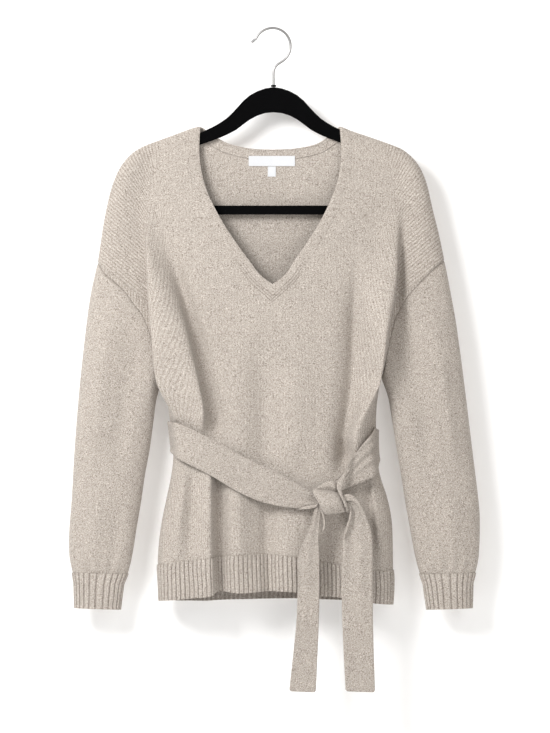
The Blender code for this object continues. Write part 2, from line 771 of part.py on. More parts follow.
def wall_mesh(name, outer, inner, closed, turn):
    """Closed wall between an outer and an inner grid."""
    rows, columns = outer.shape[:2]
    count = rows * columns
    vertices = np.concatenate([outer.reshape(-1, 3), inner.reshape(-1, 3)]) * MM
    faces = []

    def index(row, column):
        return row * columns + column % columns

    steps = columns if closed else columns - 1
    for row in range(rows - 1):
        for column in range(steps):
            a, b = index(row, column), index(row, column + 1)
            c, d = index(row + 1, column + 1), index(row + 1, column)
            faces.append((a, b, c, d))
            faces.append((count + a, count + d, count + c, count + b))

    def rim(a, b):
        """Edge of the wall between two points; the same split on both sides of a seam."""
        if vertices[a][2] >= vertices[b][2]:
            faces.extend([(a, b, count + b), (a, count + b, count + a)])
        else:
            faces.extend([(a, b, count + a), (b, count + b, count + a)])

    for column in range(steps):
        rim(index(0, column + 1), index(0, column))
        rim(index(rows - 1, column), index(rows - 1, column + 1))
    if not closed:
        for row in range(rows - 1):
            rim(index(row, 0), index(row + 1, 0))
            rim(index(row + 1, columns - 1), index(row, columns - 1))
    if turn > 0:
        faces = [face[::-1] for face in faces]
    mesh = bpy.data.meshes.new(name)
    mesh.from_pydata(vertices.tolist(), [], faces)
    mesh.validate()
    work = bmesh.new()
    work.from_mesh(mesh)
    bmesh.ops.triangulate(work, faces=work.faces, quad_method="FIXED")
    work.to_mesh(mesh)
    work.free()
    return mesh


def new_object(name, data, material, collection):
    thing = bpy.data.objects.new(name, data)
    if not data.materials:
        data.materials.append(material)
    collection.objects.link(thing)
    return thing


def move_to(thing, collection):
    for holder in list(thing.users_collection):
        holder.objects.unlink(thing)
    collection.objects.link(thing)


def cloth(name, points, closed=False, turn=1, relief=None, level_rows=()):
    """A piece of cloth before its wall is made; turn is -1 where its grid faces inwards."""
    return {"name": name, "points": points, "closed": closed, "turn": turn, "relief": relief,
            "level_rows": level_rows}


def cloth_walls(pieces, material, collection):
    """Makes the wall of each knitted piece: ribs on the outside, a plain inside."""
    share_normals(pieces)
    for piece in pieces:
        outside = open_seams(piece)
        inside = outside - piece["normals"] * WALL
        if piece["relief"] is not None:
            outside = outside + piece["normals"] * piece["relief"][..., None]
        mesh = wall_mesh(piece["name"], outside, inside, piece["closed"], piece["turn"])
        new_object(piece["name"], mesh, material, collection)


def tie_wall(name, points, turn, material, collection):
    """Wall of a tie: a flat knitted tube, thinner at its edges. The grid is its outer face."""
    normals = grid_normals(points, False) * turn
    share = np.linspace(0, 1, points.shape[1])
    thickness = TIE_EDGE + (TIE_WALL - TIE_EDGE) * np.sin(share * math.pi) ** 0.6
    outside = points - normals * ((TIE_WALL - thickness) / 2)[None, :, None]
    inside = outside - normals * thickness[None, :, None]
    new_object(name, wall_mesh(name, outside, inside, False, turn), material, collection)


def knot(material, collection):
    """The knot: a rounded form that leans to the right on its way down."""
    bpy.ops.mesh.primitive_uv_sphere_add(segments=18, ring_count=10, radius=1.0)
    thing = bpy.context.object
    thing.name = "tie_knot"
    thing.data.name = "tie_knot"
    for vertex in thing.data.vertices:
        x, y, z = vertex.co
        reach = max(abs(x), abs(z), 1e-6)
        square = 1 + KNOT_SQUARE * (math.hypot(x, z) / reach - 1)
        vertex.co = (
            (KNOT_CENTRE[0] + x * square * KNOT_HALF[0] - z * KNOT_LEAN * KNOT_HALF[2]) * MM,
            (KNOT_CENTRE[1] + y * KNOT_HALF[1]) * MM,
            (KNOT_CENTRE[2] + z * square * KNOT_HALF[2]) * MM,
        )
    thing.data.materials.append(material)
    thing.data.shade_smooth()
    move_to(thing, collection)


def outline_solid(name, outline, material, collection):
    """A flat outline in the hanger's plane, given its thickness and rounded edges."""
    curve = bpy.data.curves.new(name, "CURVE")
    curve.dimensions = "2D"
    curve.fill_mode = "BOTH"
    curve.extrude = (HANGER_THICK / 2 - HANGER_BEVEL) * MM
    curve.bevel_depth = HANGER_BEVEL * MM
    curve.bevel_resolution = 1
    line = curve.splines.new("POLY")
    line.points.add(len(outline) - 1)
    for point, (x, z) in zip(line.points, outline):
        point.co = (x * MM, z * MM, 0, 1)
    line.use_cyclic_u = True
    thing = new_object(name, curve, material, collection)
    thing.rotation_euler = (math.pi / 2, 0, 0)
    return thing


def hanger_arms(material, collection):
    """Both arms in one board, slim at the tips, with the hump that carries the hook."""
    top = [(x, z - HANGER_BEVEL) for x, z in spline(ARM_TOP, np.linspace(0, 1, 20))]
    low = [(x, z + HANGER_BEVEL) for x, z in spline(ARM_BOTTOM, np.linspace(0, 1, 18))]
    right = top + low
    left = [(-x, z) for x, z in right[-2:0:-1]]
    outline = [(HANGER_X + x, z) for x, z in right + left]
    outline_solid("hanger_arms", outline, material, collection)


def hanger_bar(material, collection):
    """The lower bar, turned up at both ends to the undersides of the arms."""
    top = BAR_TOP - HANGER_BEVEL
    low = BAR_TOP - BAR_HEIGHT + HANGER_BEVEL
    corner = BAR_CORNER
    half = BAR_RISER / 2 - HANGER_BEVEL
    outer_x = BAR_TIP + half
    inner_x = BAR_TIP - half
    under = [(x, z - BAR_SEAT - 1.3 * HANGER_BEVEL) for x, z in ARM_BOTTOM[2::-1]]
    under_x, under_z = zip(*under)
    right = [(0, top), (inner_x - corner, top)]
    for step in range(1, 5):
        angle = math.pi / 2 * step / 4
        right.append((inner_x - corner + corner * math.sin(angle), top + corner * (1 - math.cos(angle))))
    right.append((inner_x, float(np.interp(inner_x, under_x, under_z))))
    right.append((outer_x, float(np.interp(outer_x, under_x, under_z))))
    wide = corner + 2 * half
    for step in range(0, 6):
        angle = math.pi / 2 * step / 5
        right.append((outer_x - wide + wide * math.cos(angle), low + wide - wide * math.sin(angle)))
    right.append((0, low))
    left = [(-x, z) for x, z in right[-2:0:-1]]
    outline = [(HANGER_X + x, z) for x, z in right + left]
    outline_solid("hanger_bar", outline, material, collection)


def hanger_hook(material, collection):
    """The wire hook: an arc round the rail, a reverse bend and a straight foot, with a ball tip."""
    centre_z = -(HOOK_RADIUS - HOOK_WIRE / 2)
    points = list(HOOK_TIP)
    for step in range(23):
        angle = math.radians(HOOK_TIP_ANGLE + (HOOK_LOW_ANGLE - HOOK_TIP_ANGLE) * step / 22)
        points.append((HOOK_RADIUS * math.cos(angle), centre_z + HOOK_RADIUS * math.sin(angle)))
    bend = [points[-1], *HOOK_BEND, (HANGER_X, HOOK_FOOT_Z)]
    points += [tuple(point) for point in spline(bend, np.linspace(0, 1, 9))[1:]]
    curve = bpy.data.curves.new("hanger_hook", "CURVE")
    curve.dimensions = "3D"
    curve.bevel_depth = HOOK_WIRE / 2 * MM
    curve.bevel_resolution = 1
    curve.use_fill_caps = True
    line = curve.splines.new("POLY")
    line.points.add(len(points) - 1)
    for number, (x, z) in enumerate(points):
        line.points[number].co = (x * MM, 0, z * MM, 1)
        line.points[number].radius = (0.8, 1.2, 1.15, 1.0)[min(number, 3)]
    new_object("hanger_hook", curve, material, collection)


def hanger_collar(material, collection):
    """The black collar at the foot of the hook."""
    bpy.ops.mesh.primitive_cylinder_add(
        vertices=20, radius=COLLAR_RADIUS * MM, depth=COLLAR_HEIGHT * MM,
        location=(HANGER_X * MM, 0, (COLLAR_BOTTOM_Z + COLLAR_HEIGHT / 2) * MM))
    thing = bpy.context.object
    thing.name = "hanger_collar"
    thing.data.name = "hanger_collar"
    thing.data.materials.append(material)
    move_to(thing, collection)


def finish(name, colour, roughness, metallic):
    material = bpy.data.materials.new(name)
    material.use_nodes = True
    shader = material.node_tree.nodes["Principled BSDF"]
    shader.inputs["Base Color"].default_value = (*colour, 1)
    shader.inputs["Roughness"].default_value = roughness
    shader.inputs["Metallic"].default_value = metallic
    return material


def build():
    for thing in list(bpy.data.objects):
        bpy.data.objects.remove(thing, do_unlink=True)
    garment = bpy.data.collections.new("tie_waist_sweater")
    bpy.context.scene.collection.children.link(garment)
    knit = finish("oatmeal knit", KNIT, 0.9, 0.0)
    flock = finish("black flock", FLOCK, 0.95, 0.0)
    steel = finish("polished steel", STEEL, 0.2, 1.0)
    tape = finish("white tape", TAPE, 0.7, 0.0)

    front = panel(1)
    back = panel(2)
    hem_front, ribs_front = hem(1)
    hem_back, ribs_back = hem(2)
    pieces = [
        cloth("body_front", front, level_rows=(-1,)),
        cloth("body_back", back, turn=-1, level_rows=(-1,)),
        cloth("neckband_front", neckband(1), turn=-1),
        cloth("neckband_back", neckband(2)),
        cloth("hem_front", hem_front, relief=ribs_front, level_rows=(0,)),
        cloth("hem_back", hem_back, turn=-1, relief=ribs_back, level_rows=(0,)),
    ]
    for side, word in ((-1, "left"), (1, "right")):
        rings, ribs = cuff(side)
        pieces.append(cloth("sleeve_" + word, sleeve(side, front, back), closed=True, turn=-side,
                            level_rows=(-1,)))
        pieces.append(cloth("cuff_" + word, rings, closed=True, turn=-side, relief=ribs,
                            level_rows=(0,)))
    cloth_walls(pieces, knit, garment)

    tie_wall("tie_strap_left", strap(-1, STRAP_LEFT), -1, knit, garment)
    tie_wall("tie_strap_right", strap(1, STRAP_RIGHT), 1, knit, garment)
    tie_wall("tie_end_left", tie_end(END_LEFT), 1, knit, garment)
    tie_wall("tie_end_right", tie_end(END_RIGHT), 1, knit, garment)
    knot(knit, garment)

    for name, size, top in (("label", LABEL_SIZE, LABEL_TOP), ("size_tab", TAB_SIZE, TAB_TOP)):
        face = label_grid(size, top)
        behind = face - (0, LABEL_THICK, 0)
        new_object(name, wall_mesh(name, behind, face, False, 1), tape, garment)

    hanger_arms(flock, garment)
    hanger_bar(flock, garment)
    hanger_hook(steel, garment)
    hanger_collar(flock, garment)


build()
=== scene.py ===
"""Looks of the tie-waist V-neck pullover sweater on its flocked hanger.

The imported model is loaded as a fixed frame. Each knitted piece is made again as a finer wall on the
same form, with its creases, ribs, seams and stitches, and stands for its plain solid.
Frame in metres: +X to the right as seen from the front, +Y away from the viewer, +Z up; the origin
is the inner top of the hanger's hook. Tables and sizes are in millimetres, as in the part's source.
"""
import math

import bpy
import numpy as np
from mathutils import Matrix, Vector


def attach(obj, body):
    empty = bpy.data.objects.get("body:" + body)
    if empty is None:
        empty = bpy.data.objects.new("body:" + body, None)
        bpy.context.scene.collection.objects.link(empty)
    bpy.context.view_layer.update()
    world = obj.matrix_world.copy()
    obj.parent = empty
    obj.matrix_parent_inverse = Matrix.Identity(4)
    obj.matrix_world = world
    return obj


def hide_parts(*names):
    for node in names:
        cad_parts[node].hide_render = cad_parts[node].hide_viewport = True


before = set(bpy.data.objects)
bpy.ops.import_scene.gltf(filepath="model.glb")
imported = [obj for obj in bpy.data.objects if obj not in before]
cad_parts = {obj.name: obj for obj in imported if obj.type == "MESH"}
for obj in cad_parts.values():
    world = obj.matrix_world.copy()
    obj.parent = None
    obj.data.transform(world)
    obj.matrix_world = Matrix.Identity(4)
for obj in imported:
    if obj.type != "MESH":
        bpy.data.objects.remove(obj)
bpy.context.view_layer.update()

MM = 0.001

# Cloth
WALL = 2.2            # thickness of the knitted cloth
HEM_RIB_PITCH = 6.3
CUFF_RIBS = 25        # ribs all round a cuff

# Depth of the hanging garment, measured out from the plane of the hanger
HANGER_WRAP = 6.5     # cloth outside, over the hanger's arms
HANGER_ROUND = 13.0   # how far down from the shoulder line that wrap turns
DROP_WRAP = 16.0      # the same where the shoulder hangs free beyond the arms
DROP_ROUND = 26.0
ARMS_END = 165.0      # from here out the shoulder hangs free, over this width
ARMS_END_RUN = 50.0
WRAP_KEEP = 60.0      # the free shoulder's fuller wrap holds this far down, then fades over this much
WRAP_FADE = 100.0
FALL = 160.0          # distance from the shoulder line over which the body fills out
SIDE_ROUND = 48.0     # width of the rounded fold at each side of the body
ROUNDNESS = 2.3       # 2 gives an ellipse, more gives a squarer fold

# Key heights and points
UNDERARM_Z = -481.0
UNDERARM_X = 150.0
NECKBAND = 15.5       # width of the neckband
APEX_BAND = 24.0      # the band's height where it is mitred at the point of the V
BACK_BAND = 14.0
BAND_START = 0.1      # share of the neck edge over which the band comes to its full width

# Column counts and row places of the panels
SHOULDER_COLUMNS = 10
FRONT_NECK_PLACES = (0, 0.012, 0.035, 0.08, 0.16, 0.27, 0.38, 0.49, 0.60, 0.71, 0.81, 0.91, 1)
BACK_NECK_PLACES = (0, 0.025, 0.075, 0.17, 0.4, 0.7, 1)
UPPER_ROWS = (0, 0.01, 0.03, 0.07, 0.14, 0.23, 0.34, 0.46, 0.58, 0.70, 0.81, 0.90, 0.965, 1.0)
LOWER_ROWS = 9
SIDE_SHARE = 24.0     # width at the underarm that the shoulder columns take
SIDE_CROWD = 1.3      # how strongly they crowd towards the side seam
NECK_CROWD = 1.25     # the same for the columns below the neck
NECK_BOW = 26.0       # how far the columns beside the neck swing out on their way down
SWING_PEAK = 6.75     # makes that swing's greatest value 1, a third of the way down
SETTLE = 4            # rounds in which a point's height and its place across settle

# The shoulder line, from the neck point down to the end of the armhole seam
SHOULDER_LINE = (
    # left_x, left_z, right_x, right_z
    (-100, -134, 93, -134),
    (-115, -138, 108, -140),
    (-135, -145.5, 139, -150.5),
    (-161, -155, 167, -160.5),
    (-179, -162, 182, -167.5),
    (-195, -172, 197, -181),
    (-209, -188, 208, -199),
    (-218, -206, 215, -219),
    (-225, -227, 222, -250),
    (-233, -264, 230, -282),
    (-242, -323, 238, -320),
)

# The armhole seam, from the end of the shoulder line to the underarm
ARMHOLE = (
    # left_x, left_z, right_x, right_z
    (-242, -323, 238, -320),
    (-232, -338, 218, -337),
    (-205, -362, 187, -369),
    (-191, -381, 175, -389),
    (-175, -405, 166, -413),
    (-150, -481, 150, -481),
)

# The edge of the V neck, from the neck point to the point of the V
V_EDGE = (
    # left_x, right_x, z
    (-100, 93, -134),
    (-101, 94.5, -158),
    (-100.5, 94.5, -183),
    (-95.5, 90.5, -209),
    (-87, 82, -233),
    (-74, 70, -258),
    (-56.5, 53.5, -287),
    (-37.5, 35.5, -313),
    (-19, 19, -338),
    (-5, 5, -350.5),
    (0, 0, -353),
)

# The edge of the back neck, from the neck point to the middle
BACK_NECK = (
    # left_x, left_z, right_x, right_z
    (-100, -134, 93, -134),
    (-74, -151, 74, -151),
    (-54, -160.5, 56, -160),
    (-31, -164.5, 31, -164.5),
    (0, -166, 0, -166),
)

# The body below the underarm: side seams, and how far the cloth stands out in front and behind
BODY = (
    # z, left_x, right_x
    (-481, -150, 150),
    (-527, -144, 144),
    (-560, -140, 143.5),
    (-590, -137.5, 144.5),
    (-621, -141, 150),
    (-645, -146, 158),
    (-679, -153, 165),
    (-706, -157, 166.5),
    (-741, -159, 167),
    (-770, -157.5, 167.5),
    (-800, -157, 166),
)
FILL = (
    # z, front, back: added to the wrap over the hanger
    (-130, 8, 5),
    (-300, 15, 9),
    (-481, 22, 14),
    (-600, 26, 17),
    (-800, 29, 20),
)

HEM_MIDDLE_Z = -765.0
HEM_MEET = 0.08       # share of the hem's width over which the back leaves the front's height
HEM_TOP = (
    # x, front_z, back_z
    (-160, -741, -741),
    (-119, -734, -745),
    (-76, -729, -746),
    (14, -727, -745),
    (65, -735, -745),
    (141, -748, -749),
    (168, -748, -748),
)
HEM_BOTTOM = (
    # x, front_z, back_z
    (-160, -791, -791),
    (-120, -787, -792),
    (-90, -782, -792),
    (-76, -777, -791),
    (-49, -779, -790),
    (0, -776.5, -789),
    (32, -778, -789),
    (65, -783, -790),
    (95, -785.5, -791),
    (139, -793, -794),
    (168, -796, -796),
)

# Folds of the front, one row each: a ridge where the rise is over 0, a trough where it is under 0.
# The lean moves the crest sideways, so a strong one makes a fold that laps over.
FRONT_FOLDS = (
    # top_z, top_x, middle_x, low_z, low_x, width, rise, lean, top_fade, low_fade
    (-200, -176, -148, -560, -127, 11, 16, -27, 190, 80),    # side fold lapping over the left sleeve
    (-290, -160, -130, -578, -100, 12, 9, 9, 130, 50),       # second left fold, its edge to the middle
    (-230, -172, -112, -578, -74, 12, -8, 0, 160, 40),       # trough beside it
    (-585, -130, -137, -770, -143, 12, 8, 8, 40, 110),       # left fold below the tie
    (-600, -108, -112, -770, -119, 8, -7, 0, 30, 110),
    (-592, -97, -96, -900, -93, 12, 10, 9, 30, 60),          # fold that runs on through the hem
    (-592, -74, -72, -900, -70, 10, -9, 0, 30, 60),
    (-210, 178, 148, -560, 128, 11, 14, 20, 170, 80),        # side fold lapping over the right sleeve
    (-220, 168, 124, -590, 108, 20, 8, -6, 170, 30),         # broad right fold
    (-340, 110, 101, -620, 88, 14, -8, 0, 90, 60),
    (-610, 126, 139, -770, 147, 9, -8, 0, 25, 90),           # trough below the right tie
    (-610, 143, 152, -780, 154, 11, 5, -5, 25, 90),
    (-400, -48, -45, -600, -42, 20, 3, 0, 70, 40),           # soft waves of the middle
    (-450, -12, -13, -640, -14, 16, -3, 0, 70, 40),
    (-450, 24, 23, -630, 20, 18, 3, 0, 70, 40),
    (-600, -54, -52, -780, -50, 16, 4, 0, 30, 70),
    (-605, -26, -23, -780, -20, 15, -4, 0, 30, 70),
    # from here on, creases that the solids leave out
    (-250, -168, -108, -590, -72, 13, -7, 0, 140, 60),
    (-240, -176, -134, -570, -104, 10, 5, 6, 140, 60),
    (-300, 114, 118, -625, 92, 12, -21, 0, 150, 40),
    (-300, 144, 141, -610, 113, 10, 9, -5, 130, 40),
    (-250, 178, 170, -560, 150, 9, -7, 0, 90, 60),
    (-592, -74, -72, -900, -72, 10, -7, 0, 30, 70),
    (-600, -8, -4, -900, 2, 12, -13, 0, 60, 60),
    (-640, 84, 84, -900, 84, 16, -12, 0, 60, 60),
    (-600, -46, -44, -900, -42, 15, 4, 0, 60, 80),
    (-330, -14, -8, -640, -6, 20, -3, 0, 160, 70),
    (-330, 34, 40, -620, 36, 22, 3, 0, 160, 70),
)
BACK_FOLDS = (
    # top_z, top_x, middle_x, low_z, low_x, width, rise, lean, top_fade, low_fade
    (-200, -176, -148, -600, -126, 13, 9, -12, 190, 90),
    (-210, 178, 148, -600, 126, 13, 9, 12, 170, 90),
    (-300, -130, -100, -700, -84, 18, -6, 0, 150, 120),
    (-300, 128, 98, -700, 86, 18, -6, 0, 150, 120),
    (-580, -108, -112, -900, -114, 15, 6, 0, 90, 60),
    (-580, 112, 118, -900, 120, 15, 6, 0, 90, 60),
    (-560, -34, -32, -900, -30, 18, -5, 0, 110, 60),
    (-560, 30, 30, -900, 32, 18, 4, 0, 110, 60),
    # from here on, creases that the solids leave out
    (-420, 0, 4, -800, 0, 22, 4, 0, 150, 120),
    (-450, -62, -58, -820, -60, 18, -4, 0, 150, 120),
    (-450, 64, 60, -820, 58, 18, -4, 0, 150, 120),
)
FOLD_EDGE = 14.0      # folds die out this close to the shoulder line and the side seams

# Sleeves: the outer and inner outline, and how far each stands out in front and behind
SLEEVE_OUTER = (
    # left_x, left_z, right_x, right_z
    (-242, -323, 238, -320),
    (-251, -364, 248, -372),
    (-257, -405, 255.5, -416),
    (-266, -485, 266, -495),
    (-273, -568, 276, -578),
    (-278, -651, 285, -651),
    (-281, -690, 287, -685),
    (-281.5, -724, 285.5, -728),
    (-277, -752, 281, -752),
)
SLEEVE_INNER = (
    # left_x, left_z, right_x, right_z
    (-150, -481, 150, -481),
    (-160, -510, 160, -510),
    (-165, -545, 166, -545),
    (-170, -582, 172, -582),
    (-177, -620, 178, -618),
    (-182, -655, 183, -651),
    (-188, -690, 190, -690),
    (-194, -728, 197, -728),
    (-200, -753, 203.5, -753),
)
SLEEVE_DEPTH = (
    # share of the length, front, back
    (0, 21, 20),
    (0.3, 24, 20),
    (0.7, 22, 17),
    (0.92, 19, 15),
    (1, 14, 12),
)
SLEEVE_EASE = 0.3     # share of the length in which the armhole's own line fades out
SLEEVE_EVEN = 0.4     # share of the length in which the columns come to lie evenly round it
SLEEVE_FADE = 0.15    # share over which a sleeve's fold comes and goes
SLEEVE_FOLDS = (
    # place across (0 outer, 1 inner), width, rise, start, end (shares of the length)
    (0.26, 0.10, 3.0, 0.05, 0.65),
    (0.60, 0.13, -4.0, 0.05, 0.60),
    (0.40, 0.12, 2.5, 0.60, 1.00),
    (0.72, 0.10, -2.5, 0.65, 1.00),
)

CUFF = (
    # left_outer_x, left_inner_x, right_outer_x, right_inner_x, z, half_depth
    (-274.5, -206.5, 277, 209, -766, 14),
    (-273.5, -211, 276, 214, -801, 13),
)
CUFF_SLANT = 2.0      # how much lower a cuff hangs at its inner side

# Waist ties
TIE_WALL = 3.0
TIE_CLEAR = 0.8       # gap between a tie and the folds it lies on
STRAP_LIFT = 8.5      # how far the folds hold a strap off the panel
STRAP_LIFT_RUN = 16.0
NUDGE = 0.5           # step over which the panel's slope is measured
STRAP_LEFT = (
    # x, upper_z, lower_z
    (-148, -535, -587),
    (-113, -554, -606),
    (-87, -568, -619),
    (-46, -590, -641),
    (-9, -607, -655),
    (23, -622, -661),
    (46, -634, -662),
    (70, -643, -657),
)
STRAP_RIGHT = (
    # x, upper_z, lower_z
    (149, -546, -598),
    (143, -551, -609),
    (135, -560, -618),
    (124, -573, -624),
    (108, -596, -632),
    (97, -612, -637),
    (84, -624, -642),
)
STRAP_CROWD = 2.4     # how strongly a strap's columns crowd towards the side seam
END_LEFT = (
    # left_x, left_z, right_x, right_z, y
    (60, -660, 68, -655, -49.6),
    (57, -668, 66, -669, -51.5),
    (52, -684, 64.5, -686, -53),
    (41, -708, 64, -706, -52),
    (35, -730, 65, -728, -50.5),
    (34, -774, 65, -774, -49),
    (32, -822, 64, -822, -48),
    (22.5, -913.5, 60, -915, -46),
)
END_RIGHT = (
    # left_x, left_z, right_x, right_z, y; the top is folded as the knot pulls it
    (98, -652, 108.7, -651, -57),
    (103.0, -658, 116.4, -656, -57),
    (106.0, -666.5, 123.0, -664, -56),
    (104.4, -675, 129.4, -674, -55),
    (100.9, -686, 135, -689, -53.5),
    (96.9, -703, 137.5, -710, -52.3),
    (95, -775, 138, -775, -49.5),
    (96, -830, 139, -838, -48),
    (100, -913.5, 141.5, -915, -46),
)

# Hanger
HANGER_X = 1.5        # middle of the hanger
HOOK_WIRE = 3.4
HOOK_RADIUS = 25.0    # of the wire's middle line
HOOK_FOOT_Z = -76.9
HOOK_TIP = ((-29.0, -17.9), (-27.5, -16.8), (-25.5, -15.2))
HOOK_TIP_ANGLE = 156.0
HOOK_LOW_ANGLE = -56.0
HOOK_BEND = ((6.2, -49.5), (2.7, -54.5), (1.5, -60.0))    # x, z down to the straight foot
HOOK_STEPS = (10, 60, 34)       # points along its tip, its arc and its bend
HOOK_SWELL = (
    # distance from the tip, thickness there against the wire's own
    (0, 0.7),
    (0.8, 1.12),
    (2.2, 1.2),
    (3.6, 1.12),
    (5.5, 1.0),
)
WIRE_SIDES = 20
CAP_SHARE = 0.4       # how far a wire's end stands out, as a share of its radius

# Finer form, which the solids leave out
OVER = 5              # steps made of each of a panel's columns
DOWN = 8              # steps made of each of its rows
BAND_ROWS = 8
RIB_STEPS = 8         # columns over the width of a rib
HEM_ROWS = 16
CUFF_NECK_ROWS = 5
CUFF_ROWS = 12
CUFF_RIB_PITCH = 5.4
RIB_HEIGHT = 1.5
RIB_ROUND = 0.55      # under 1 makes a rib broader and its grooves narrower
HEM_SAMPLES = 600     # places across at which the hem's length is measured
SHOULDER_SAMPLES = 60
LENGTH_SAMPLES = 50
CURVE_STEPS = 12      # steps between two points of a curve whose length is measured
SLEEVE_RINGS = 130
STRAP_STEPS = 90
STRAP_TUCK = 7.0      # how far a strap's upper corner is rounded off at the side seam
STRAP_TUCK_RUN = 0.12       # share of its length over which it is
END_STEPS = 110
TIE_STEPS = 22
TIE_SQUARE = 6        # how square the edges of a tie are; 2 would be round
PLEAT_FADE = 0.25     # share of a tie's length over which a pleat comes and goes
SEAM_DIP = (1.1, 0.25)      # how far the cloth sinks at its edge, and a step inside it
NECK_DIP = (0.45, 0.15)     # the same at the neck, the hem and the cuffs
BACK_NECK_DIP = (1.6, 0.5)
SEAM_STEP = 1.3       # width of that step, and the most that it takes of a column or row
SEAM_STEP_MOST = 0.4
GATHER_START = 0.9    # the sleeve is gathered into its cuff over the last tenth
GATHER_END = 0.02
GATHER_RISE = 1.2
GATHER_TURNS = 34.0
WALE_TURN = (
    # distance down the shoulder line, degrees by which the wales lean from upright
    (0, 0),
    (60, 4),
    (95, 24),
    (130, 40),
    (180, 48),
    (270, 52),
)
WALE_EDGE = (
    # z, distance from the middle at which the sloping wales start, along the side folds
    (-481, 140),
    (-400, 152),
    (-300, 160),
    (-230, 168),
    (-180, 160),
    (-130, 140),
)

# Pleats along a tie: place across it from its upper or left edge (0 to 1), width, height, and the
# shares of its length between which it shows
SELVEDGES = ((0.05, 0.05, 0.7, 0.0, 1.0), (0.95, 0.05, 0.7, 0.0, 1.0))
PLEATS = {
    "strap_left": ((0.05, 0.05, 0.7, 0.0, 1.0), (0.93, 0.05, 0.8, 0.0, 1.0),
                   (0.62, 0.10, -1.5, 0.55, 1.0), (0.30, 0.10, 1.2, 0.45, 1.0),
                   (0.80, 0.07, 1.6, 0.6, 1.0)),
    "strap_right": ((0.05, 0.05, 0.8, 0.0, 1.0), (0.94, 0.05, 0.8, 0.0, 1.0),
                    (0.30, 0.06, 1.3, 0.25, 1.0), (0.45, 0.06, -1.3, 0.25, 1.0),
                    (0.58, 0.05, 1.2, 0.2, 0.95), (0.72, 0.06, -1.2, 0.2, 0.95)),
    "end_left": (*SELVEDGES, (0.45, 0.16, 1.3, 0.0, 0.55)),
    "end_right": (*SELVEDGES, (0.30, 0.14, -2.2, 0.0, 0.5), (0.62, 0.16, 1.6, 0.1, 0.7)),
}

# The knot and the turns of cloth round it, a row for each band: the node it stands for, its left
# and right edge lines as x, y, z from its start to its end, and how far it swells between them
KNOT_BANDS = (
    ("tie_knot",
     ((57, -46, -633), (54.5, -55, -637), (57, -61, -644), (62, -63, -653), (67, -60, -663),
      (71, -53, -670), (74, -46, -671)),
     ((86, -46, -637), (89, -56, -640), (93.5, -61, -646), (96.5, -62.5, -653), (99, -61, -660),
      (101, -55, -666), (99, -47, -667)),
     6.0),
    ("tie_knot",
     ((108.7, -45.5, -588.5), (101.8, -50, -606.1), (93.2, -55, -618.2), (88.3, -59, -625.5),
      (87.8, -62, -633.7), (91.5, -64.5, -643.2), (96, -66, -652), (99.2, -64.5, -660), (101, -58, -666),
      (100, -50, -667)),
     ((111.4, -45.5, -590.3), (105.2, -50, -604.4), (102.1, -54.5, -613.9), (98.3, -58, -626.8),
      (95.6, -61, -634.6), (97.4, -63, -643.5), (101.6, -64, -652.5), (104.4, -62.5, -660),
      (104.6, -57, -665), (103, -50, -666)),
     2.2),
    ("tie_knot",
     ((62, -50, -637), (67, -55, -635.5), (72, -58.5, -633.8), (77.5, -60, -632.6), (81.5, -60, -633),
      (84.4, -59, -636), (85, -56, -640)),
     ((58, -49, -634), (63, -54, -630.5), (69, -56.5, -626.5), (77, -57.5, -623.2), (84, -57.5, -623.6),
      (88.2, -56.5, -629), (88.5, -54, -637)),
     1.6),
    ("tie_end_right",
     ((92, -52, -651), (97, -57.5, -651.5), (103.5, -59, -652), (110.4, -58.5, -653.5),
      (116.4, -57.2, -659), (122, -55.6, -670), (128, -53.2, -682)),
     ((92, -52, -642), (97, -58, -642), (105.5, -60, -641.4), (114.5, -59.3, -645.6),
      (121.8, -57.8, -655.3), (128.4, -55.8, -669), (133, -53.4, -682)),
     1.8),
    ("tie_strap_left",
     ((36, -46, -664), (44, -48.5, -663.2), (52, -50, -662.8), (62, -51, -660)),
     ((36, -46, -661.5), (44, -48.8, -658.4), (52, -50.5, -657), (62, -51, -655.5)),
     0.8),
    ("tie_end_right",
     ((101.5, -57, -655.5), (104.6, -58.5, -661), (105.6, -58.2, -668), (103.8, -57.2, -677),
      (100.6, -55.6, -688), (97.5, -54, -701)),
     ((105.5, -57.6, -656), (108.8, -58.6, -662), (109.2, -58.2, -669), (107.4, -57.2, -679),
      (104.2, -55.4, -691), (99.5, -53.6, -705)),
     1.4),
    ("tie_end_left",
     ((64.5, -50, -661), (66.4, -50.5, -667), (69, -51, -675), (69.3, -50.5, -685.4), (68, -50, -692)),
     ((68, -50, -660), (70, -50.5, -666.5), (73, -51, -678.5), (72.4, -50.5, -689), (70, -50, -694)),
     1.0),
)

# Knit and yarn
BODY_WALE = 4.0       # width of a column of stitches
BODY_COURSE = 2.9     # height of a stitch
BAND_WALE = 3.2
TIE_WALE = 2.9
SHOULDER_WALE = 4.9   # along the shoulder's outline
WELD = 0.00002        # metres
SMOOTH_ANGLE = 50.0
LINES_FADE = 30.0     # width over which the shoulder's lines come in
LINE_SHADE = 0.25     # how much more painted shade their grooves get
LINE_FLAT = 0.55      # how much of the relief they lose
LINES_PAINTED_SHADE = 0.15       # how much of the seams' painted shade they get, to darken them
# Painted shade, standing in for the shade that falls at seams, between ribs and on the shoulder's lines;
# the V's fashioning lines are drawn in the same dark colour
SEAM_SHADE_MARKS = (0.75, 0.0)    # painted shade at a seam's edge, and a step inside it
SEAM_SHADE = 0.75
RIB_GROOVE_SHADE = 0.6        # how much painted shade the grooves between ribs get
APEX_PLACE = (-1.5, -352.0)
APEX_STRAIGHT = -351.0      # above this the V's edge is taken as drawn, and then run on straight
V_RUN_ON = 3          # as many times its last stretch
APEX_CLEAR = 34.0     # the fashioned part of the band reaches this far, then fades over this much
APEX_FADE = 34.0
APEX_PITCH = 3.4      # between the lines of fashioning along the V
APEX_ROWS = (4.0, 1.4)      # which of them show: their middle, and how far to each side
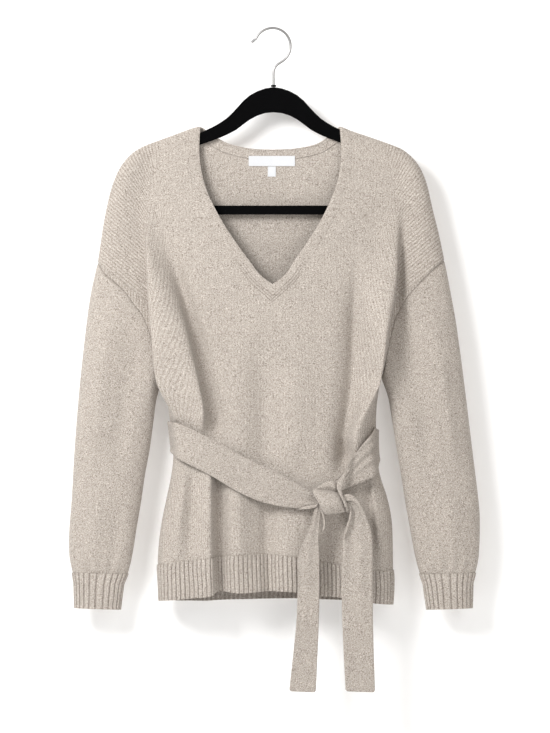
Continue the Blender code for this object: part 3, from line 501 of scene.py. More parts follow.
APEX_UNEVEN = (2.4, -0.4)   # turns the yarn's fuzz into how clearly they show
BAND_LONG = 60        # steps along and across a turn of the knot
BAND_WIDE = 16
BAND_WALL = 2.2
BAND_ROUND = 2.4      # 2 gives it a round swell, more gives a flatter one
END_CORNER = 4.0      # radius of the low corners of the ties
CORNER_ROWS = 6
WANDER_SCALE = 90.0   # scales of noise are to the metre
UNEVENNESS = 0.0022   # metres
LEG_ROUND = 0.6       # under 1 makes the legs of a stitch broader
LOOP_SLANT = -0.8     # how steeply they run down to their middle
LOOP_DEPTH = 0.5
LINE_LOOPS = 0.12     # height of the stitches, and of the lines, where the knit shows lines
LINE_HEIGHT = 0.9
PURL_BOW = 0.5
FLECK_SCALE = 900.0
DARK_FLECKS = 0.77    # scale of the dark flecks against the pale ones
FLECK_ROUGHNESS = 0.6
PALE_RANGE = (0.47, 0.68)   # noise at which a pale fleck starts, and at which it is full
DARK_RANGE = (0.50, 0.72)
DARK_SHARE = 0.8
BROAD_SCALE = 22.0
BROAD_SHADE = (0.10, 0.95)  # how much the broad noise adds to the shade, and the least
FUZZ_HEIGHT = 0.5     # of the yarn's fuzz against the stitches
YARN = (0.437, 0.394, 0.352)
YARN_PALE = (0.74, 0.685, 0.63)
YARN_DARK = (0.115, 0.085, 0.062)
# colour of the painted shade in the grooves between stitches
GROOVE_SHADE_COLOUR = (0.50, 0.46, 0.43)
# colour of that painted shade at seams, between ribs and on the shoulder's lines, also used for the V's
# fashioning lines
SEAM_SHADE_COLOUR = (0.25, 0.22, 0.20)
KNIT_BUMP = (0.6, 0.0007)   # strength, and height in metres

# Flock, steel and tape
FLOCK_SCALE = 2600.0
FLOCK_COLOURS = ((0.0008, 0.0008, 0.0009), (0.004, 0.004, 0.0044))
FLOCK_BUMP = (0.5, 0.0003)
STEEL_SCALE = 240.0
STEEL_ROUGHNESS = (0.16, 0.3)     # how much the noise adds, and the least
STEEL_COLOURS = ((0.27, 0.267, 0.264), (0.36, 0.357, 0.354))
# painted dark reflection at the wire's rims: its colour, and the facing over which it comes in
STEEL_RIM_REFLECTION = (0.07, 0.07, 0.072)
STEEL_RIM_REFLECTION_RANGE = (0.3, 0.9)
TAPE_THREADS = ((0, 0.00042), (2, 0.00036))       # axis, and metres between threads
TAPE_COLOURS = ((0.55, 0.56, 0.575), (0.66, 0.67, 0.69))
TAPE_BUMP = (0.3, 0.0001)

# Studio, in metres
WALL_Y = 0.037
WALL_GLOW = 0.09      # the wall's own light
WALL_RISE = 2.5       # of the wall's middle above the floor
WALL_COLOUR = (0.9, 0.9, 0.9, 1.0)
FLOOR_Y = -2.4
FLOOR_Z = -1.35
FLOOR_COLOUR = (0.85, 0.85, 0.85, 1.0)
STUDIO_SIZE = (9.0, 5.0, 1.0)
WORLD_LIGHT = 0.5
WORLD_COLOUR = (1.0, 0.97, 0.93, 1.0)
LIGHTS = (
    # name, place, size, power, point it is aimed at
    ("key light", (-1.05, -1.45, 0.5), 0.8, 40.0, (0.0, 0.0, -0.45)),
    ("fill light", (1.2, -3.0, -0.2), 2.4, 21.5, (0.0, 0.0, -0.5)),
    ("back light", (0.0, 2.4, 0.0), 1.6, 45.0, (0.0, 0.0, -0.45)),
)
VIEW_X = 0.00345            # middle of the view
VIEW_Z = -0.46672
VIEW_HEIGHT = 1.01154       # what the photo's frame takes in at the garment
CAMERA_AWAY = 7.0
CAMERA_PLANE = -0.02        # the garment's front, where the view has that height
CAMERA_FAR = 50.0
SENSOR = 24.0               # millimetres


def smooth(value):
    """0 below 0, 1 above 1, and an even S between."""
    value = np.clip(value, 0.0, 1.0)
    return value * value * (3.0 - 2.0 * value)


def rounded(share):
    """Height of a rounded edge, 0 to 1, at a share of its width in from the edge."""
    share = np.clip(share, 0.0, 1.0)
    return (1.0 - (1.0 - share) ** ROUNDNESS) ** (1.0 / ROUNDNESS)


def travel_along(line):
    """Length of a line up to each of its points."""
    return np.concatenate([[0.0], np.cumsum(np.linalg.norm(np.diff(line, axis=0), axis=1))])


def finer_line(points, times):
    """A smooth line through the points with each step cut into a number of equal ones."""
    points = np.asarray(points, float)
    ends = np.vstack([2 * points[0] - points[1], points, 2 * points[-1] - points[-2]])
    line = []
    for start in range(len(points) - 1):
        a, b, c, d = ends[start:start + 4]
        for step in range(times):
            t = step / times
            line.append(0.5 * (2 * b + (c - a) * t + (2 * a - 5 * b + 4 * c - d) * t * t
                               + (3 * b - a - 3 * c + d) * t ** 3))
    line.append(points[-1])
    return np.array(line)


def spline(points, shares):
    """Points at the given shares of the length of a smooth curve through the points."""
    fine = finer_line(points, CURVE_STEPS)
    travel = travel_along(fine)
    wanted = np.asarray(shares, float) * travel[-1]
    return np.stack([np.interp(wanted, travel, fine[:, axis]) for axis in range(fine.shape[1])], -1)


def look_up(table, key, column):
    """Value of a table's column at a key, the table's first column, eased between rows."""
    rows = sorted(table)
    keys = np.array([row[0] for row in rows], float)
    values = np.array([row[column] for row in rows], float)
    slopes = np.gradient(values, keys)
    key = np.clip(key, keys[0], keys[-1])
    at = np.clip(np.searchsorted(keys, key) - 1, 0, len(keys) - 2)
    span = keys[at + 1] - keys[at]
    t = (key - keys[at]) / span
    return ((2 * t ** 3 - 3 * t ** 2 + 1) * values[at] + (t ** 3 - 2 * t ** 2 + t) * span * slopes[at]
            + (3 * t ** 2 - 2 * t ** 3) * values[at + 1] + (t ** 3 - t ** 2) * span * slopes[at + 1])


def pairs(table, side):
    """The left or right half of a table that holds both sides."""
    first = 0 if side < 0 else 2
    return [row[first:first + 2] for row in table]


def v_edge(side):
    """One side of the V neck's edge, as x and z."""
    column = 0 if side < 0 else 1
    return [(row[column], row[2]) for row in V_EDGE]


def distance_to(line, x, z):
    """Distance from points to a line of points, all in the plane of the hanger."""
    best = np.full(np.shape(x), 1e9)
    for (ax, az), (bx, bz) in zip(line[:-1], line[1:]):
        length = (bx - ax) ** 2 + (bz - az) ** 2
        t = np.clip(((x - ax) * (bx - ax) + (z - az) * (bz - az)) / length, 0, 1)
        best = np.minimum(best, np.hypot(x - ax - t * (bx - ax), z - az - t * (bz - az)))
    return best


SHOULDER_FINE = {side: spline(pairs(SHOULDER_LINE, side), np.linspace(0, 1, SHOULDER_SAMPLES))
                 for side in (-1, 1)}


def from_shoulder(x, z):
    """Distance from the shoulder line, or from the first stretch of the sleeve's outside."""
    nearest = np.full(np.shape(x), 1e9)
    for side in (-1, 1):
        line = np.vstack([SHOULDER_FINE[side], pairs(SLEEVE_OUTER, side)[1]])
        nearest = np.minimum(nearest, distance_to(line, x, z))
    return nearest


def from_side(x, z):
    """Distance from the side seams, or above them from the underarm points."""
    below = np.minimum(z, UNDERARM_Z)
    left = x - look_up(BODY, below, 1)
    right = look_up(BODY, below, 2) - x
    rise = np.maximum(z - UNDERARM_Z, 0.0)
    left = np.where(z > UNDERARM_Z, np.hypot(x + UNDERARM_X, rise), left)
    right = np.where(z > UNDERARM_Z, np.hypot(x - UNDERARM_X, rise), right)
    return np.maximum(np.minimum(left, right), 0.0)


def body_depth(x, z, face):
    """How far the cloth's outside stands from the hanger's plane; face is 1 in front, 2 behind."""
    down = from_shoulder(x, z)
    free = smooth((np.abs(x) - ARMS_END) / ARMS_END_RUN)
    wrap = HANGER_WRAP + (DROP_WRAP - HANGER_WRAP) * free
    turn = HANGER_ROUND + (DROP_ROUND - HANGER_ROUND) * free
    wrap = wrap + (HANGER_WRAP - wrap) * smooth((down - WRAP_KEEP) / WRAP_FADE)
    fill = look_up(FILL, z, face) * smooth(down / FALL)
    return (wrap * rounded(down / turn) + fill) * rounded(from_side(x, z) / SIDE_ROUND)


def fold_shift(x, z, folds):
    """Sideways shift and rise that the folds give to a point of the cloth."""
    shift = np.zeros(np.shape(x))
    rise = np.zeros(np.shape(x))
    for top_z, top_x, middle_x, low_z, low_x, width, height, lean, top_fade, low_fade in folds:
        t = (top_z - z) / (top_z - low_z)
        path = top_x * (1 - t) * (1 - 2 * t) + middle_x * 4 * t * (1 - t) + low_x * t * (2 * t - 1)
        strength = smooth((top_z - z) / top_fade) * smooth((z - low_z) / low_fade)
        strength = strength * np.exp(-((x - path) / width) ** 2)
        rise += height * strength
        shift += lean * strength
    hold = smooth(np.minimum(from_shoulder(x, z), from_side(x, z)) / FOLD_EDGE)
    return shift * hold, rise * hold


def dress(x, z, face):
    """The cloth's outside over plan points, with its folds; face is 1 in front, 2 behind."""
    shift, rise = fold_shift(x, z, FRONT_FOLDS if face == 1 else BACK_FOLDS)
    depth = body_depth(x, z, face) + rise
    outward = -1.0 if face == 1 else 1.0
    return np.stack([x + shift, outward * depth, z], -1)


def neck_lines(face):
    """The neck edge and the band's outer line, each from the left neck point to the right one."""
    places = FRONT_NECK_PLACES if face == 1 else BACK_NECK_PLACES
    width = NECKBAND if face == 1 else BACK_BAND
    halves = []
    for side in (-1, 1):
        edge_points = v_edge(side) if face == 1 else pairs(BACK_NECK, side)
        edge = spline(edge_points, places)
        along = np.gradient(edge, places, axis=0)
        along /= np.linalg.norm(along, axis=1)[:, None]
        away = np.stack([along[:, 1], -along[:, 0]], -1) * -side
        outer = edge + width * away
        start = smooth(np.asarray(places) / BAND_START)[:, None]
        outer += (1 - start) * (np.array(pairs(SHOULDER_LINE, side)[1]) - outer[0])
        outer[-1] = edge[-1] - (0, APEX_BAND if face == 1 else width)
        halves.append((edge, outer))
    (left_edge, left_outer), (right_edge, right_outer) = halves
    edge = np.vstack([left_edge, right_edge[-2::-1]])
    outer = np.vstack([left_outer, right_outer[-2::-1]])
    return edge, outer


def underarm_places(face):
    """Places across at the underarm, one for each column of a panel."""
    crowd = np.linspace(0, 1, SHOULDER_COLUMNS + 1) ** SIDE_CROWD
    side = -UNDERARM_X + SIDE_SHARE * crowd
    neck_steps = len(FRONT_NECK_PLACES if face == 1 else BACK_NECK_PLACES) - 1
    middle = side[-1] * (1 - np.linspace(0, 1, neck_steps + 1) ** NECK_CROWD)
    return np.concatenate([side, middle[1:-1], -middle[::-1], -side[-2::-1]])


def column_swing(face):
    """How far each column swings to the left, with a minus, or right on its way down."""
    places = FRONT_NECK_PLACES if face == 1 else BACK_NECK_PLACES
    shoulder = np.linspace(0, 1, SHOULDER_COLUMNS + 1) ** 2
    neck = (1 - np.asarray(places[1:])) ** 2
    half = -NECK_BOW * np.concatenate([shoulder, neck])
    return np.concatenate([half, -half[-2::-1]])


def hem_height(table, across, x, face):
    """Height of a hem line; at the side seams the back keeps to the front's."""
    front = look_up(table, x, 1)
    inside = smooth(np.minimum(across, 1 - across) / HEM_MEET)
    return front + (look_up(table, x, face) - front) * inside


def body_x(across, z):
    """Place between the side seams, 0 at the left and 1 at the right, at a height."""
    return look_up(BODY, z, 1) * (1 - across) + look_up(BODY, z, 2) * across


def finer(values, times):
    """The same run of values with each step cut into a number of equal ones."""
    values = np.asarray(values, float)
    steps = np.arange(times * (len(values) - 1) + 1) / times
    return np.interp(steps, np.arange(len(values)), values)


def finer_neck(points, times):
    """A neck line cut finer on each side of its middle, which keeps its corner."""
    middle = len(points) // 2
    return np.vstack([finer_line(points[:middle + 1], times), finer_line(points[middle:], times)[1:]])


def shoulder_map(x, z):
    """Place in the knit of a dropped shoulder, whose wales turn from upright to the armhole's slope."""
    place = np.stack([x, z], -1)
    for side in (-1, 1):
        line = SHOULDER_FINE[side]
        travel = travel_along(line)
        turn = np.radians(np.interp(travel, [row[0] for row in WALE_TURN], [row[1] for row in WALE_TURN]))
        go_x = -side * np.sin(turn)
        go_z = -np.cos(turn)
        miss = [(x - px) * dz - (z - pz) * dx for (px, pz), dx, dz in zip(line, go_x, go_z)]
        found = np.zeros(np.shape(x), bool)
        for step in range(len(line) - 1):
            crossed = (miss[step] * miss[step + 1] <= 0) & ~found & (x * side > 0)
            share = miss[step] / (miss[step] - miss[step + 1] + 1e-12)
            start_x = line[step][0] * (1 - share) + line[step + 1][0] * share
            start_z = line[step][1] * (1 - share) + line[step + 1][1] * share
            off = travel[step] * (1 - share) + travel[step + 1] * share
            off = side * (off + abs(line[0][0])) * BODY_WALE / SHOULDER_WALE
            place[..., 0] = np.where(crossed, off, place[..., 0])
            place[..., 1] = np.where(crossed, -np.hypot(x - start_x, z - start_z), place[..., 1])
            found |= crossed
    return place * MM


def on_shoulder(x, z):
    """1 outside the side folds, where the wales slope, and 0 elsewhere."""
    edge = look_up(WALE_EDGE, z, 1)
    return ((np.abs(x) > edge) & (z > UNDERARM_Z)).astype(float)


def from_v(x, z):
    """Distance from the edge of the V, run on straight past its point, in metres."""
    found = []
    for side in (-1, 1):
        line = [place for place in v_edge(side) if place[1] > APEX_STRAIGHT]
        (ax, az), (bx, bz) = line[-2:]
        line.append((bx + (bx - ax) * V_RUN_ON, bz + (bz - az) * V_RUN_ON))
        found.append(distance_to(line, x, z))
    return np.where(x < APEX_PLACE[0], found[0], found[1]) * MM


def near_point(x, z):
    """1 round the point of the V, where the band is fashioned, fading out along it."""
    off = np.hypot(x - APEX_PLACE[0], z - APEX_PLACE[1])
    return 1 - smooth((off - APEX_CLEAR) / APEX_FADE)


def v_marks(x, z):
    """What the knit's material reads round the V, by name."""
    return {"from_v": from_v(x, z), "near_point": near_point(x, z)}


def wale_lines(x, z):
    """How clearly the wales show as lines: fully on the shoulder's outer part, fading inwards."""
    return smooth((np.abs(x) - look_up(WALE_EDGE, z, 1)) / LINES_FADE + 0.5) * (z > UNDERARM_Z)


def panel(face, over, down):
    """Plan points and grid of the front or back panel, cut finer across and down than its solid."""
    neck = finer_neck(neck_lines(face)[1], over)
    shares = finer(np.linspace(1, 0, SHOULDER_COLUMNS + 1), over)
    left = spline(pairs(SHOULDER_LINE, -1)[1:], shares)
    right = spline(pairs(SHOULDER_LINE, 1)[1:], shares[::-1])
    top = np.vstack([left, neck[1:-1], right])
    places = finer(underarm_places(face), over)
    swing = finer(column_swing(face), over)
    low = np.stack([places, np.full(len(places), UNDERARM_Z)], -1)
    upper = finer(UPPER_ROWS, down)
    shoulder = SHOULDER_COLUMNS * over
    rows = []
    for share in upper:
        row = top * (1 - share) + low * share
        row[:, 0] += swing * SWING_PEAK * share * (1 - share) ** 2
        for side, order in ((-1, 1), (1, -1)):
            seam = spline(pairs(ARMHOLE, side), [share])[0]
            off = seam - row[::order][0]
            weight = 1 - np.arange(shoulder) / shoulder
            row[::order][:shoulder] += weight[:, None] * off
        rows.append(row)
    across = (places + UNDERARM_X) / (2 * UNDERARM_X)
    for step in range(1, LOWER_ROWS * down + 1):
        share = step / (LOWER_ROWS * down)
        z = np.full(len(places), UNDERARM_Z)
        for _ in range(SETTLE):
            low_z = hem_height(HEM_TOP, across, body_x(across, z), face)
            z = UNDERARM_Z * (1 - share) + low_z * share
        rows.append(np.stack([body_x(across, z), z], -1))
    plan = np.array(rows)
    grid = dress(plan[..., 0], plan[..., 1], face)
    grid[0, :shoulder + 1, 1] = 0
    grid[0, -shoulder - 1:, 1] = 0
    grid[len(upper) - 1:, (0, -1), 1] = 0
    return plan, grid, len(upper) - 1


def neckband(face, over):
    """Grid and knit places of half the neckband, rows from the seam to the free edge."""
    edge, outer = (finer_neck(line, over) for line in neck_lines(face))
    shares = np.linspace(0, 1, BAND_ROWS + 1)
    plan = np.array([outer * (1 - share) + edge * share for share in shares])
    grid = dress(plan[..., 0], plan[..., 1], face)
    grid[:, (0, -1), 1] = 0
    width = NECKBAND if face == 1 else BACK_BAND
    travel = travel_along(edge)
    places = np.stack(np.meshgrid(travel, shares * width), -1)[..., ::-1] * MM
    return grid, places


def rib_profile(phase):
    """Height of a rib over its width, 0 to 1: broad and round, with a narrow groove each side."""
    return np.sin(np.pi * (phase % 1.0)) ** RIB_ROUND


def hem(face):
    """Grid, knit places and rib heights of half the hem."""
    fine = 0.5 - 0.5 * np.cos(np.linspace(0, math.pi, HEM_SAMPLES))
    line = dress(body_x(fine, HEM_MIDDLE_Z), np.full(len(fine), HEM_MIDDLE_Z), face)
    travel = travel_along(line)
    ribs = round(travel[-1] / HEM_RIB_PITCH)
    steps = np.arange(ribs * RIB_STEPS + 1) / (ribs * RIB_STEPS)
    across = np.interp(steps * travel[-1], travel, fine)
    rows = []
    for share in np.linspace(0, 1, HEM_ROWS + 1):
        z = np.full(len(across), HEM_MIDDLE_Z)
        for _ in range(SETTLE):
            x = body_x(across, z)
            high_z = hem_height(HEM_TOP, across, x, face)
            z = high_z * (1 - share) + hem_height(HEM_BOTTOM, across, x, face) * share
        rows.append(np.stack([body_x(across, z), z], -1))
    plan = np.array(rows)
    grid = dress(plan[..., 0], plan[..., 1], face)
    grid[:, (0, -1), 1] = 0
    phase = steps * ribs
    places = np.stack([np.broadcast_to(phase * HEM_RIB_PITCH, plan.shape[:2]), plan[..., 1]], -1) * MM
    return grid, places, np.broadcast_to(rib_profile(phase), plan.shape[:2])


def sleeve_section(side, share, across, outward):
    """Points round a sleeve at a share of its length; across is 0 outside and 1 inside the arm."""
    outer = spline(pairs(SLEEVE_OUTER, side), [share])[0]
    inner = spline(pairs(SLEEVE_INNER, side), [share])[0]
    place = outer * (1 - across[:, None]) + inner * across[:, None]
    swell = np.maximum(1 - np.abs(2 * across - 1) ** ROUNDNESS, 0) ** (1 / ROUNDNESS)
    depth = np.where(outward < 0, look_up(SLEEVE_DEPTH, share, 1), look_up(SLEEVE_DEPTH, share, 2))
    for middle, width, height, start, end in SLEEVE_FOLDS:
        strength = smooth((share - start) / SLEEVE_FADE) * smooth((end - share) / SLEEVE_FADE)
        depth = depth + height * strength * np.exp(-((across - middle) / width) ** 2)
    gather = smooth((share - GATHER_START) / (1 - GATHER_START)) * smooth((1 - share) / GATHER_END)
    depth = depth + GATHER_RISE * gather * np.sin(across * GATHER_TURNS)
    return np.stack([place[:, 0], outward * depth * swell, place[:, 1]], -1)


def sleeve(side, front, back, last):
    """Rings of a sleeve from its armhole seam to its cuff, and their places in the knit."""
    column = 0 if side < 0 else -1
    seam = np.vstack([front[:last + 1, column], back[last - 1:0:-1, column]])
    upper = finer(UPPER_ROWS, last // (len(UPPER_ROWS) - 1))
    rough = np.concatenate([upper, upper[-2:0:-1]])
    even = 0.5 - 0.5 * np.cos(np.linspace(0, 2 * math.pi, len(seam), endpoint=False))
    outward = np.where(np.arange(len(seam)) <= last, -1.0, 1.0)
    start = sleeve_section(side, 0, rough, outward)
    rings = []
    places = []
    inner = spline(pairs(SLEEVE_INNER, side), np.linspace(0, 1, LENGTH_SAMPLES))
    length = travel_along(inner)[-1]
    for share in np.linspace(0, 1, SLEEVE_RINGS + 1):
        across = rough + (even - rough) * smooth(share / SLEEVE_EVEN)
        ease = 1 - smooth(share / SLEEVE_EASE)
        ring = sleeve_section(side, share, across, outward) + ease * (seam - start)
        ring = np.vstack([ring, ring[:1]])
        rings.append(ring)
        places.append(np.stack([travel_along(ring), np.full(len(ring), -share * length)], -1))
    places = np.array(places) * MM
    behind = places.copy()
    behind[..., 0] -= places[:, -1:, 0]
    return np.array(rings), places, behind


def cuff(side):
    """Rings of a cuff with its knit places and rib heights."""
    count = CUFF_RIBS * RIB_STEPS
    steps = np.arange(count + 1)
    turn = 2 * math.pi * steps / count
    reach = np.abs(np.cos(turn)) ** (2 / ROUNDNESS) * np.sign(np.cos(turn))
    swell = np.abs(np.sin(turn)) ** (2 / ROUNDNESS)
    outward = np.where(np.sin(turn) > 0, -1.0, 1.0)
    across = (1 - reach) / 2
    key = [sleeve_section(side, 1.0, across, outward)]
    first = 0 if side < 0 else 2
    for row in CUFF:
        outer, inner = row[first:first + 2]
        z, half_depth = row[4:]
        x = outer + (inner - outer) * across
        key.append(np.stack([x, outward * swell * half_depth, z - CUFF_SLANT * across], -1))
    top, neck, end = key
    rings = [top + (neck - top) * share for share in np.linspace(0, 1, CUFF_NECK_ROWS, endpoint=False)]
    rings += [neck + (end - neck) * share for share in np.linspace(0, 1, CUFF_ROWS + 1)]
    rings = np.array(rings)
    phase = np.broadcast_to(steps / RIB_STEPS, rings.shape[:2])
    places = np.stack([phase * CUFF_RIB_PITCH, rings[..., 2]], -1) * MM
    return rings, places, rib_profile(phase)


def strap(side, table):
    """Outer face of the stretch of a tie from the side seam to the knot, as its solid lies."""
    seam_column = 1 if side < 0 else 2
    end_x = table[-1][0]
    start_x = table[0][0]
    rows = []
    for step in range(STRAP_STEPS + 1):
        share = (step / STRAP_STEPS) ** STRAP_CROWD
        plain_x = start_x + (end_x - start_x) * share
        upper = look_up(table, plain_x, 1)
        lower = look_up(table, plain_x, 2)
        tuck = STRAP_TUCK * (1 - smooth(share / STRAP_TUCK_RUN)) ** 2
        z = np.linspace(upper - tuck, lower, TIE_STEPS + 1)
        edge_x = look_up(BODY, z, seam_column)
        x = edge_x + (end_x - edge_x) * share
        inward = -side * (x - edge_x)
        lift = TIE_CLEAR + TIE_WALL + STRAP_LIFT * smooth(inward / STRAP_LIFT_RUN)
        slope = (body_depth(x - side * NUDGE, z, 1) - body_depth(x, z, 1)) / NUDGE
        length = np.hypot(slope, 1.0)
        depth = body_depth(x, z, 1) + lift / length
        rows.append(np.stack([x + side * lift * slope / length, -depth, z], -1))
    return np.array(rows)


def tie_end(table):
    """Outer face of a hanging end of a tie, rows from the knot down, crowded at its low end."""
    even = np.linspace(0, 1, END_STEPS + 1)
    turn = np.sin(np.linspace(0, math.pi / 2, CORNER_ROWS + 1))
    shares = np.concatenate([even[:-2], even[-2] + (1 - even[-2]) * turn])
    left = spline([(row[0], row[4], row[1]) for row in table], shares)
    right = spline([(row[2], row[4], row[3]) for row in table], shares)
    across = np.linspace(0, 1, TIE_STEPS + 1)[None, :, None]
    return left[:, None, :] * (1 - across) + right[:, None, :] * across


def pleated(face, turn, rows):
    """A tie's face with its pleats and selvedges raised or sunk."""
    across = np.linspace(0, 1, face.shape[1])[None, :]
    along = np.linspace(0, 1, face.shape[0])[:, None]
    rise = np.zeros(face.shape[:2])
    for place, width, height, start, end in rows:
        fade = 1.0 if start == 0 else smooth((along - start) / PLEAT_FADE)
        fade = fade * (1.0 if end == 1 else smooth((end - along) / PLEAT_FADE))
        rise += height * fade * np.exp(-((across - place) / width) ** 2)
    return face + grid_normals(face) * (turn * rise)[..., None]


def grid_normals(points):
    """Unit normal of each point of a grid, on the side from which its columns run to the right."""
    side_a = points[1:, 1:] - points[:-1, :-1]
    side_b = points[:-1, 1:] - points[1:, :-1]
    faces = np.cross(side_a, side_b)
    normals = np.zeros(points.shape)
    for down in (0, 1):
        for over in (0, 1):
            normals[down:points.shape[0] - 1 + down, over:points.shape[1] - 1 + over] += faces
    return normals / np.maximum(np.linalg.norm(normals, axis=2), 1e-12)[..., None]


def edge_place(edge, number):
    """Where a grid's row or column lies that is a number of steps in from a named edge."""
    return {"top": (number,), "low": (-1 - number,), "left": (slice(None), number),
            "right": (slice(None), -1 - number)}[edge]


def round_edges(points, normals, **dips):
    """Sinks the named edges of a grid a little, as cloth dips at a seam."""
    points = points.copy()
    for edge, drops in dips.items():
        for number, drop in enumerate(drops):
            place = edge_place(edge, number)
            points[place] -= normals[place] * drop
    return points


def edge_steps(*layers):
    """Adds a narrow step inside each edge of a grid and of what goes with it, so a seam can dip sharply."""
    both = np.concatenate(layers, axis=2)
    for axis in (0, 1):
        both = np.swapaxes(both, 0, axis)
        parts = []
        for end, near in ((0, 1), (-1, -2)):
            gap = np.linalg.norm(both[near, :, :3] - both[end, :, :3], axis=1)[:, None]
            share = np.minimum(SEAM_STEP / np.maximum(gap, 1e-9), SEAM_STEP_MOST)
            parts.append((both[end] + (both[near] - both[end]) * share)[None])
        both = np.concatenate([both[:1], parts[0], both[1:-1], parts[1], both[-1:]])
        both = np.swapaxes(both, 0, axis)
    return np.split(both, np.cumsum([layer.shape[2] for layer in layers])[:-1], axis=2)


def seam_shade_marks(grid, sides):
    """How much painted shade each point of a grid gets: that of a seam at its named edges, and 0 elsewhere.
    """
    marks = np.zeros(grid.shape[:2])
    for edge in sides:
        for number, mark in enumerate(SEAM_SHADE_MARKS):
            place = edge_place(edge, number)
            marks[place] = np.maximum(marks[place], mark)
    return marks


def knit_sheet(name, grid, places, turn, others=None, take_other=None, weld=False, wall=WALL, marks=None):
    """A wall of knitted cloth on a grid, its inside towards the body, with its knit places as UV.

    marks gives each point of the grid numbers that the knit's material reads, by name."""
    rows, columns = grid.shape[:2]
    bpy.ops.object.select_all(action="DESELECT")
    bpy.ops.mesh.primitive_grid_add(x_subdivisions=columns - 1, y_subdivisions=rows - 1, size=1.0)
    piece = bpy.context.object
    piece.name = name
    mesh = piece.data
    mesh.name = name
    mesh.vertices.foreach_set("co", (grid.reshape(-1, 3) * MM).ravel())
    corner = np.empty(len(mesh.loops), int)
    mesh.loops.foreach_get("vertex_index", corner)
    uv = places.reshape(-1, 2)[corner]
    if others is not None:
        wanted = take_other.reshape(-1)[corner].reshape(-1, 4).mean(axis=1) > 0.5
        uv = np.where(np.repeat(wanted, 4)[:, None], others.reshape(-1, 2)[corner], uv)
    mesh.uv_layers.active.name = "knit"
    mesh.uv_layers.active.data.foreach_set("uv", uv.ravel())
    for label, values in (marks or {}).items():
        layer = mesh.attributes.new(label, "FLOAT", "POINT")
        layer.data.foreach_set("value", np.ascontiguousarray(values, dtype=np.float32).ravel())
    if turn > 0:
        mesh.flip_normals()
    mesh.update()
    bpy.ops.object.mode_set(mode="EDIT")
    bpy.ops.mesh.select_all(action="SELECT")
    if weld:
        bpy.ops.mesh.remove_doubles(threshold=WELD)
    bpy.ops.object.mode_set(mode="OBJECT")
    if wall:
        thickness = piece.modifiers.new("wall", "SOLIDIFY")
        thickness.thickness = wall * MM
        thickness.offset = -1.0
        thickness.material_offset = 1
        bpy.ops.object.modifier_apply(modifier="wall")
    bpy.ops.object.shade_smooth_by_angle(angle=math.radians(SMOOTH_ANGLE))
    return piece


def tie(name, face, turn, wall=TIE_WALL, corner=0.0):
    """A flat knitted tube on the outer face of a tie, rounded at its edges, ends and low corners."""
    normals = grid_normals(face) * turn
    across = np.linspace(-1, 1, face.shape[1])
    along = travel_along(face[:, face.shape[1] // 2])
    from_end = np.minimum(along, along[-1] - along)
    end = np.sqrt(1 - (1 - np.clip(from_end / wall, 0, 1)) ** 2)
    half = wall / 2 * np.sqrt(1 - np.abs(across) ** TIE_SQUARE)[None, :] * end[:, None]
    middle = face - normals * wall / 2
    front = middle + normals * half[..., None]
    back = middle - normals * half[..., None]
    ring = np.concatenate([front, back[:, ::-1], front[:, :1]], axis=1)
    width = np.linalg.norm(face[:, -1] - face[:, 0], axis=1).max()
    if corner:
        centre = face[:, face.shape[1] // 2, None]
        past = np.clip(corner - (along[-1] - along), 0, corner)
        inset = corner - np.sqrt(corner ** 2 - past ** 2)
        ring = centre + (ring - centre) * (1 - 2 * inset / width)[:, None, None]
    u = np.concatenate([across, 2 - across[::-1], [3.0]]) * width / 2
    places = np.stack(np.broadcast_arrays(u[None, :], along[:, None]), -1) * MM
    return knit_sheet(name, ring, places, turn, weld=True, wall=0)


def ruled(left, right, swell):
    """A grid between two edge lines, swelled towards the viewer between them."""
    shares = np.linspace(0, 1, BAND_LONG + 1)
    left = spline(left, shares)[:, None, :]
    right = spline(right, shares)[:, None, :]
    across = np.linspace(0, 1, BAND_WIDE + 1)[None, :, None]
    grid = left * (1 - across) + right * across
    grid[..., 1] -= swell * (1 - np.abs(2 * across[..., 0] - 1) ** BAND_ROUND)
    return grid


def joined(pieces):
    """One object made of several."""
    bpy.ops.object.select_all(action="DESELECT")
    for piece in pieces:
        piece.select_set(True)
    bpy.context.view_layer.objects.active = pieces[0]
    bpy.ops.object.join()
    return pieces[0]


def tube(name, path, radii):
    """A round wire along a path, closed at both ends."""
    path = np.asarray(path, float)
    tangent = np.gradient(path, axis=0)
    tangent /= np.linalg.norm(tangent, axis=1)[:, None]
    side = np.cross(tangent, (0.0, 1.0, 0.0))
    side /= np.linalg.norm(side, axis=1)[:, None]
    lift = np.cross(side, tangent)
    radii = np.asarray(radii, float)
    path = np.concatenate([path[:1] - tangent[:1] * radii[0] * CAP_SHARE, path,
                           path[-1:] + tangent[-1:] * radii[-1] * CAP_SHARE])
    side = np.concatenate([side[:1], side, side[-1:]])
    lift = np.concatenate([lift[:1], lift, lift[-1:]])
    radii = np.concatenate([[0.0], radii, [0.0]])
    turn = np.linspace(0, 2 * math.pi, WIRE_SIDES + 1)
    ring = (side[:, None, :] * np.cos(turn)[None, :, None] + lift[:, None, :] * np.sin(turn)[None, :, None])
    grid = path[:, None, :] + ring * radii[:, None, None]
    along = travel_along(path)
    places = np.stack(np.broadcast_arrays((turn * radii.max())[None, :], along[:, None]), -1) * MM
    return knit_sheet(name, grid, places, 1, weld=True, wall=0)


